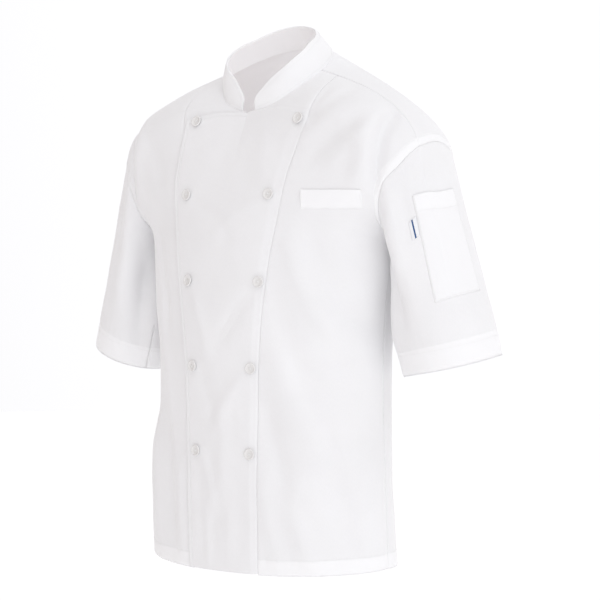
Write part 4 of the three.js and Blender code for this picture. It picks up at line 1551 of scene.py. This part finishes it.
def weave_group() -> bpy.types.NodeTree:
    """A twill weave: fine slanted ribs broken by the crossing yarns, with slubs."""
    tree = bpy.data.node_groups.new("twill weave", "ShaderNodeTree")
    tree.interface.new_socket("Vector", in_out="INPUT", socket_type="NodeSocketVector")
    for name, default in (("Ribs", 900.0), ("Slub", 800.0)):
        tree.interface.new_socket(name, in_out="INPUT", socket_type="NodeSocketFloat").default_value = default
    for name in ("Height", "Slubs"):
        tree.interface.new_socket(name, in_out="OUTPUT", socket_type="NodeSocketFloat")
    n = Nodes(tree)
    start, end = n.add("NodeGroupInput"), n.add("NodeGroupOutput")
    split = n.add("ShaderNodeSeparateXYZ")
    n.link(start.outputs["Vector"], split.inputs[0])
    slant = n.maths("ADD", split.outputs["X"], n.maths("MULTIPLY", split.outputs["Y"], 0.9))
    turns = n.maths("MULTIPLY", slant, start.outputs["Ribs"])
    ribs = n.maths("SINE", n.maths("MULTIPLY", turns, 2 * math.pi))
    other_slant = n.maths("SUBTRACT", split.outputs["X"], split.outputs["Y"])
    cross = n.maths("MULTIPLY", other_slant, start.outputs["Ribs"])
    yarn = n.maths("SINE", n.maths("MULTIPLY", cross, 4 * math.pi))
    slubs = n.add("ShaderNodeTexNoise")
    stretch = n.add("ShaderNodeMapping")
    stretch.inputs["Scale"].default_value = (1.0, 0.3, 1.0)
    n.link(start.outputs["Vector"], stretch.inputs["Vector"])
    n.link(stretch.outputs["Vector"], slubs.inputs["Vector"])
    n.link(start.outputs["Slub"], slubs.inputs["Scale"])
    slubs.inputs["Detail"].default_value = 3.0
    total = n.maths("ADD", ribs, n.maths("MULTIPLY", yarn, 0.45))
    total = n.maths("ADD", total, n.maths("MULTIPLY", slubs.outputs["Fac"], 0.8))
    n.link(total, end.inputs["Height"])
    n.link(slubs.outputs["Fac"], end.inputs["Slubs"])
    return tree


def tone_group() -> bpy.types.NodeTree:
    """Soft uneven tone of washed cloth, as a mask from 0 to 1, and small crumples as a height."""
    tree = bpy.data.node_groups.new("washed tone", "ShaderNodeTree")
    tree.interface.new_socket("Vector", in_out="INPUT", socket_type="NodeSocketVector")
    tree.interface.new_socket("Tone", in_out="OUTPUT", socket_type="NodeSocketFloat")
    tree.interface.new_socket("Crumple", in_out="OUTPUT", socket_type="NodeSocketFloat")
    n = Nodes(tree)
    start, end = n.add("NodeGroupInput"), n.add("NodeGroupOutput")
    tone = n.add("ShaderNodeTexNoise")
    tone.inputs["Scale"].default_value = 11.0
    tone.inputs["Detail"].default_value = 4.0
    n.link(start.outputs["Vector"], tone.inputs["Vector"])
    crumple = n.add("ShaderNodeTexNoise")
    crumple.inputs["Scale"].default_value = 48.0
    crumple.inputs["Detail"].default_value = 3.0
    crumple.inputs["Distortion"].default_value = 0.6
    n.link(start.outputs["Vector"], crumple.inputs["Vector"])
    n.link(tone.outputs["Fac"], end.inputs["Tone"])
    n.link(crumple.outputs["Fac"], end.inputs["Crumple"])
    return tree


@dataclass(frozen=True)
class ClothFinish:
    """Plain cloth: its two tones, its painted lighter colour where doubled, how rough it is and how deep its
    weave shows.
    """

    name: str
    light: Triple
    shade: Triple
    # Colour of doubled cloth, painted lighter for the shaded inside that shows less through two layers
    doubled_painted_light: Triple
    roughness: float = 0.86
    sheen: float = 0.45
    ribs: float = 900.0
    depth: float = 0.12
    band: tuple[float, float] = (0.0, 0.0)
    band_colour: Triple = (0.0, 0.0, 0.0)

    def colour(self, n: Nodes, place: bpy.types.NodeSocket,
               plain: bpy.types.NodeSocket) -> bpy.types.NodeSocket:
        """The cloth's colour, with its woven band where it has one.

        Args:
            n: the material's nodes.
            place: the cloth's own coordinates.
            plain: the colour without a band.

        Returns:
            The colour's socket.
        """
        if self.band[1] <= self.band[0]:
            return plain
        split = n.add("ShaderNodeSeparateXYZ")
        n.link(place, split.inputs[0])
        above = n.maths("GREATER_THAN", split.outputs["X"], self.band[0])
        below = n.maths("LESS_THAN", split.outputs["X"], self.band[1])
        mix = n.add("ShaderNodeMix", data_type="RGBA")
        n.link(n.maths("MULTIPLY", above, below), mix.inputs[0])
        n.link(plain, mix.inputs[6])
        mix.inputs[7].default_value = (*self.band_colour, 1.0)
        return mix.outputs[2]

    def material(self, weave: bpy.types.NodeTree, tone: bpy.types.NodeTree) -> bpy.types.Material:
        """Builds the cloth's material from the shared groups.

        Args:
            weave: the group that makes the twill's ribs.
            tone: the group that makes the washed unevenness.

        Returns:
            The material.
        """
        material = bpy.data.materials.new(self.name)
        material.use_nodes = True
        n = Nodes(material.node_tree)
        shader = material.node_tree.nodes["Principled BSDF"]
        place = n.add("ShaderNodeUVMap", uv_map="cloth")
        solid = n.add("ShaderNodeTexCoord")
        ribs = n.add("ShaderNodeGroup", node_tree=weave)
        ribs.inputs["Ribs"].default_value = self.ribs
        n.link(place.outputs["UV"], ribs.inputs["Vector"])
        patchy = n.add("ShaderNodeGroup", node_tree=tone)
        n.link(solid.outputs["Object"], patchy.inputs["Vector"])
        mix = n.add("ShaderNodeMix", data_type="RGBA")
        mix.inputs[6].default_value = (*self.shade, 1.0)
        mix.inputs[7].default_value = (*self.light, 1.0)
        spread = n.add("ShaderNodeMapRange")
        spread.inputs["From Min"].default_value = 0.3
        spread.inputs["From Max"].default_value = 0.7
        blend = n.maths("ADD", n.maths("MULTIPLY", patchy.outputs["Tone"], 0.6),
                        n.maths("MULTIPLY", ribs.outputs["Slubs"], 0.4))
        n.link(blend, spread.inputs["Value"])
        n.link(spread.outputs["Result"], mix.inputs[0])
        # Painted light: doubled cloth is mixed towards a lighter colour, for the shaded inside that shows
        # less through two layers
        layers = n.add("ShaderNodeAttribute", attribute_name="doubled_painted_light")
        doubled_light_mix = n.add("ShaderNodeMix", data_type="RGBA")
        n.link(layers.outputs["Fac"], doubled_light_mix.inputs[0])
        n.link(mix.outputs[2], doubled_light_mix.inputs[6])
        doubled_light_mix.inputs[7].default_value = (*self.doubled_painted_light, 1.0)
        n.link(self.colour(n, place.outputs["UV"], doubled_light_mix.outputs[2]), shader.inputs["Base Color"])
        rough = n.maths("ADD", n.maths("MULTIPLY", ribs.outputs["Slubs"], 0.1), self.roughness - 0.05)
        n.link(rough, shader.inputs["Roughness"])
        crumple = n.add("ShaderNodeBump")
        crumple.inputs["Strength"].default_value = 0.35
        crumple.inputs["Distance"].default_value = 0.0009
        n.link(patchy.outputs["Crumple"], crumple.inputs["Height"])
        bump = n.add("ShaderNodeBump")
        bump.inputs["Strength"].default_value = self.depth
        bump.inputs["Distance"].default_value = 0.00012
        n.link(ribs.outputs["Height"], bump.inputs["Height"])
        n.link(crumple.outputs["Normal"], bump.inputs["Normal"])
        n.link(bump.outputs["Normal"], shader.inputs["Normal"])
        shader.inputs["Sheen Weight"].default_value = self.sheen
        shader.inputs["Sheen Roughness"].default_value = 0.6
        shader.inputs["Specular IOR Level"].default_value = 0.25
        return material


@dataclass(frozen=True)
class PlainFinish:
    """A smooth finish with slight unevenness, for buttons and thread."""

    name: str
    colour: Triple
    roughness: float
    coat: float = 0.0
    grain: float = 300.0
    depth: float = 0.05

    def material(self) -> bpy.types.Material:
        """Builds the finish."""
        material = bpy.data.materials.new(self.name)
        material.use_nodes = True
        n = Nodes(material.node_tree)
        shader = material.node_tree.nodes["Principled BSDF"]
        place = n.add("ShaderNodeTexCoord")
        noise = n.add("ShaderNodeTexNoise")
        noise.inputs["Scale"].default_value = self.grain
        n.link(place.outputs["Object"], noise.inputs["Vector"])
        mix = n.add("ShaderNodeMix", data_type="RGBA")
        mix.inputs[6].default_value = (*[c * 0.94 for c in self.colour], 1.0)
        mix.inputs[7].default_value = (*self.colour, 1.0)
        n.link(noise.outputs["Fac"], mix.inputs[0])
        n.link(mix.outputs[2], shader.inputs["Base Color"])
        rough = n.maths("ADD", n.maths("MULTIPLY", noise.outputs["Fac"], 0.1), self.roughness - 0.05)
        n.link(rough, shader.inputs["Roughness"])
        bump = n.add("ShaderNodeBump")
        bump.inputs["Strength"].default_value = self.depth
        bump.inputs["Distance"].default_value = 0.0002
        n.link(noise.outputs["Fac"], bump.inputs["Height"])
        n.link(bump.outputs["Normal"], shader.inputs["Normal"])
        shader.inputs["Coat Weight"].default_value = self.coat
        return material


# The third colour of each cloth is its painted lighter tone where it is doubled
TWILL = ClothFinish("white twill", (0.862, 0.86, 0.872), (0.82, 0.817, 0.828), (0.9, 0.9, 0.911))
RIBBON = ClothFinish("ribbon", (0.86, 0.87, 0.89), (0.8, 0.81, 0.83), (0.86, 0.87, 0.89), roughness=0.5,
                     sheen=0.1, ribs=1400.0, band=(0.005, 0.0076), band_colour=(0.03, 0.09, 0.24))
BUTTON_PLASTIC = PlainFinish("button plastic", (0.8, 0.79, 0.78), 0.4, coat=0.25)
THREAD = PlainFinish("sewing thread", (0.88, 0.88, 0.88), 0.6, grain=1800.0, depth=0.2)


@dataclass
class Studio:
    """The camera, soft lights, floor and backdrop."""

    azimuth: float = 36.0
    elevation: float = 2.0
    distance: float = 3.2
    aim: Triple = (0.0, 0.0, -0.352)
    aside: float = 0.040
    frame_width: float = 0.909
    dim_way: Triple = (-0.88, -0.46, -0.1)
    dim_colour: Triple = (0.34, 0.27, 0.24)
    dim_reach: float = 0.18
    rear_way: Triple = (0.8, 0.58, -0.15)
    rear_colour: Triple = (0.66, 0.59, 0.54)
    rear_reach: float = 0.8
    surround_strength: float = 1.03
    key_place: Triple = (2.9, -1.4, 1.7)
    key_power: float = 5.5
    fill_place: Triple = (2.3, -2.3, -0.5)
    fill_power: float = 4.0
    top_place: Triple = (-0.3, -1.6, 3.0)
    top_power: float = 5.0
    cool: Triple = (0.97, 0.98, 1.0)
    warm: Triple = (1.0, 0.98, 0.97)
    inside_power: float = 0.5

    def direction(self) -> Vector:
        """The way from the aim to the camera."""
        a, e = math.radians(self.azimuth), math.radians(self.elevation)
        return Vector((math.sin(a) * math.cos(e), -math.cos(a) * math.cos(e), math.sin(e)))

    def camera(self) -> None:
        """Places the camera at the picture's angle."""
        right = Vector((math.cos(math.radians(self.azimuth)), math.sin(math.radians(self.azimuth)), 0.0))
        aim = Vector(self.aim) + right * self.aside
        data = bpy.data.cameras.new("camera")
        data.sensor_width = 36.0
        data.lens = data.sensor_width * self.distance / self.frame_width
        data.clip_end = 30.0
        camera = bpy.data.objects.new("camera", data)
        camera.location = aim + self.direction() * self.distance
        camera.rotation_euler = (aim - camera.location).to_track_quat("-Z", "Y").to_euler()
        bpy.context.scene.collection.objects.link(camera)
        bpy.context.scene.camera = camera

    def lamp(self, name: str, place: Triple, power: float, size: float, colour: Triple = (1, 1, 1)) -> None:
        """Adds a soft square lamp that faces the jacket.

        Args:
            name: the lamp's name.
            place: where it stands.
            power: its power in watts.
            size: the length of its side.
            colour: its colour.
        """
        data = bpy.data.lights.new(name, "AREA")
        data.shape = "SQUARE"
        data.size = size
        data.energy = power
        data.color = colour
        lamp = bpy.data.objects.new(name, data)
        lamp.location = place
        lamp.rotation_euler = (Vector(self.aim) - Vector(place)).to_track_quat("-Z", "Y").to_euler()
        bpy.context.scene.collection.objects.link(lamp)

    def floor(self) -> None:
        """Makes a plain pale floor below the jacket."""
        material = bpy.data.materials.new("studio paper")
        material.use_nodes = True
        shader = material.node_tree.nodes["Principled BSDF"]
        shader.inputs["Base Color"].default_value = (0.95, 0.95, 0.95, 1.0)
        shader.inputs["Roughness"].default_value = 0.95
        shader.inputs["Emission Color"].default_value = (1.0, 1.0, 1.0, 1.0)
        shader.inputs["Emission Strength"].default_value = 0.15
        bm = bmesh.new()
        bmesh.ops.create_circle(bm, cap_ends=True, segments=96, radius=9.0)
        bmesh.ops.translate(bm, verts=bm.verts[:], vec=(0.0, 0.0, -1.3))
        mesh = bpy.data.meshes.new("floor")
        bm.to_mesh(mesh)
        bm.free()
        mesh.materials.append(material)
        floor = bpy.data.objects.new("floor", mesh)
        bpy.context.scene.collection.objects.link(floor)

    def build(self) -> None:
        """Sets up the whole studio."""
        self.camera()
        self.floor()
        self.surround()
        bpy.context.scene.view_settings.view_transform = "Standard"
        self.lamp("key", self.key_place, self.key_power, 0.9, self.cool)
        self.lamp("low fill", self.fill_place, self.fill_power, 1.2, self.cool)
        self.lamp("top", self.top_place, self.top_power, 1.6, self.warm)
        glow = bpy.data.lights.new("inside", "POINT")
        glow.energy = self.inside_power
        glow.color = (1.0, 0.94, 0.92)
        glow.shadow_soft_size = 0.09
        lamp = bpy.data.objects.new("inside", glow)
        lamp.location = (0.0, 0.0, -0.2)
        lamp.visible_camera = False
        bpy.context.scene.collection.objects.link(lamp)

    def dimmed(self, n: Nodes, way: bpy.types.NodeSocket, plain: bpy.types.NodeSocket, towards: Triple,
               colour: Triple, reach: float) -> bpy.types.NodeSocket:
        """The surround's colour, with a dimmer patch in one direction.

        Args:
            n: the world's nodes.
            way: the direction from the jacket.
            plain: the colour without the patch.
            towards: the middle of the patch.
            colour: the colour there.
            reach: the cosine of the angle at which the patch ends.

        Returns:
            The colour's socket.
        """
        facing = n.add("ShaderNodeVectorMath", operation="DOT_PRODUCT")
        n.link(way, facing.inputs[0])
        facing.inputs[1].default_value = Vector(towards).normalized()
        spread = n.add("ShaderNodeMapRange", interpolation_type="SMOOTHSTEP")
        spread.inputs["From Min"].default_value = reach
        spread.inputs["From Max"].default_value = 1.0
        n.link(facing.outputs["Value"], spread.inputs["Value"])
        mix = n.add("ShaderNodeMix", data_type="RGBA")
        n.link(spread.outputs["Result"], mix.inputs[0])
        n.link(plain, mix.inputs[6])
        mix.inputs[7].default_value = (*colour, 1.0)
        return mix.outputs[2]

    def surround(self) -> None:
        """Makes a white surround, dimmer to the wearer's right and front and to the left and rear."""
        world = bpy.data.worlds.new("studio")
        world.use_nodes = True
        n = Nodes(world.node_tree)
        back = world.node_tree.nodes["Background"]
        way = n.add("ShaderNodeTexCoord").outputs["Generated"]
        colour = n.add("ShaderNodeRGB")
        colour.outputs[0].default_value = (0.985, 0.985, 1.0, 1.0)
        with_front = self.dimmed(n, way, colour.outputs[0], self.dim_way, self.dim_colour, self.dim_reach)
        with_rear = self.dimmed(n, way, with_front, self.rear_way, self.rear_colour, self.rear_reach)
        n.link(with_rear, back.inputs["Color"])
        back.inputs["Strength"].default_value = self.surround_strength
        bpy.context.scene.world = world


@dataclass
class Sewing:
    """The rows of stitches that show on the jacket."""

    panels: dict[str, Panel]
    proud: float = 0.08

    def seam(self, name: str, *lines: tuple[np.ndarray, np.ndarray]) -> Seam:
        """Makes a seam from lines on one panel.

        Args:
            name: the panel's name.
            lines: points and normals of each line.

        Returns:
            The seam.
        """
        seam = Seam(f"{name}_stitches")
        for points, normals in lines:
            seam.add(points, normals, self.panels[name].thickness / 2.0 + self.proud)
        return seam

    def fronts(self) -> list[Seam]:
        """Hems and armholes of the side fronts and the edges of the overlapping bib."""
        seams = []
        for side in Side:
            name = f"front_{side.word}"
            panel = self.panels[name]
            seams.append(self.seam(
                name,
                edge_line(panel, HEM_DEPTH, panel.outside, upward=True),
                edge_line(panel, ARMHOLE_BAND, panel.rows_between(UNDERARM + 6, SHOULDER - 3),
                          from_end=True)))
        bib = self.panels["bib_left"]
        lap = slice(0, int(np.nonzero(bib.keep[-1])[0][0]) + 1)
        below = bib.rows_between(3.0, NOTCH - TOPSTITCH)
        seams.append(self.seam(
            "bib_left",
            edge_line(bib, TOPSTITCH, below, lap),
            edge_line(bib, TOPSTITCH, bib.rows_between(NOTCH - 40, NOTCH), slice(6, lap.stop), upward=True,
                      from_end=True)))
        return seams

    def back(self) -> Seam:
        """The hem and both armholes of the back."""
        panel = self.panels["back"]
        rows = panel.rows_between(UNDERARM + 6, BACK_SHOULDER - 3)
        return self.seam("back", edge_line(panel, HEM_DEPTH, panel.outside, upward=True),
                         edge_line(panel, ARMHOLE_BAND, rows),
                         edge_line(panel, ARMHOLE_BAND, rows, from_end=True))

    def small_pieces(self) -> list[Seam]:
        """Sleeve hems, the collar's edges, the welt and the sleeve's pocket."""
        seams = []
        for side in Side:
            name = f"sleeve_{side.word}"
            panel = self.panels[name]
            seams.append(self.seam(name, edge_line(panel, SLEEVE_HEM_DEPTH, panel.outside, upward=True)))
        collar = self.panels["collar"]
        outer = slice(0, (collar.points.shape[0] - 1) // 2)
        inner = slice(4, -4)
        seams.append(self.seam(
            "collar",
            edge_line(collar, TOPSTITCH, outer, inner, upward=True, from_end=True),
            edge_line(collar, BASE_STITCH, outer, inner, upward=True),
            edge_line(collar, TOPSTITCH, slice(3, outer.stop - 4)),
            edge_line(collar, TOPSTITCH, slice(3, outer.stop - 4), from_end=True)))
        welt = self.panels["chest_pocket_welt"]
        seams.append(self.seam(
            "chest_pocket_welt", edge_line(welt, 2.2, from_end=True),
            edge_line(welt, 1.9, columns=slice(3, -3), upward=True)))
        pocket = self.panels["sleeve_pocket"]
        seams.append(self.seam(
            "sleeve_pocket", edge_line(pocket, 2.6), edge_line(pocket, 2.6, from_end=True),
            edge_line(pocket, 2.6, columns=slice(2, -2), upward=True),
            edge_line(pocket, 25.0, columns=slice(2, -2), upward=True, from_end=True)))
        return seams

    def build(self, material: bpy.types.Material) -> None:
        """Makes every row of stitches.

        Args:
            material: the finish of the thread.
        """
        for seam in [*self.fronts(), self.back(), *self.small_pieces()]:
            seam.build(material)
            LOG.info("%s: %d rows", seam.name, len(seam.lines))


def build_jacket() -> None:
    """Makes every piece of the jacket and reports it."""
    weave, tone = weave_group(), tone_group()
    cloth = TWILL.material(weave, tone)
    panels = [
        BackPanel().build(),
        FrontPanel(Side.LEFT).build(),
        FrontPanel(Side.RIGHT).build(),
        BibPanel(Side.LEFT, over=True).build(),
        BibPanel(Side.RIGHT, over=False).build(),
        Sleeve(Side.LEFT).build(),
        Sleeve(Side.RIGHT).build(),
        Collar().build(),
        Welt().build(),
        SleevePatch("sleeve_pocket_cloth", "sleeve_pocket", -61, 2, 0.19, 0.722, top_drop=0.05,
                    top_bow=0.03).build(),
        SleevePatch("label_tab_ribbon", "label_tab", -69.9, -61.5, 0.292, 0.388, hem=0.0, slot="label_ribbon",
                    columns=10, rows=16).build(),
    ]
    ribbon = RIBBON.material(weave, tone)
    for panel in panels:
        panel.dress(ribbon if panel.slot == "label_ribbon" else cloth)
    thread = THREAD.material()
    Sewing({panel.node: panel for panel in panels}).build(thread)
    Buttons().build(BUTTON_PLASTIC.material(), thread)


def main() -> None:
    """Builds the studio and the jacket."""
    logging.basicConfig(level=logging.INFO, format="%(name)s %(message)s")
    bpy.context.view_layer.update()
    Studio().build()
    build_jacket()


if __name__ == "__main__":
    main()
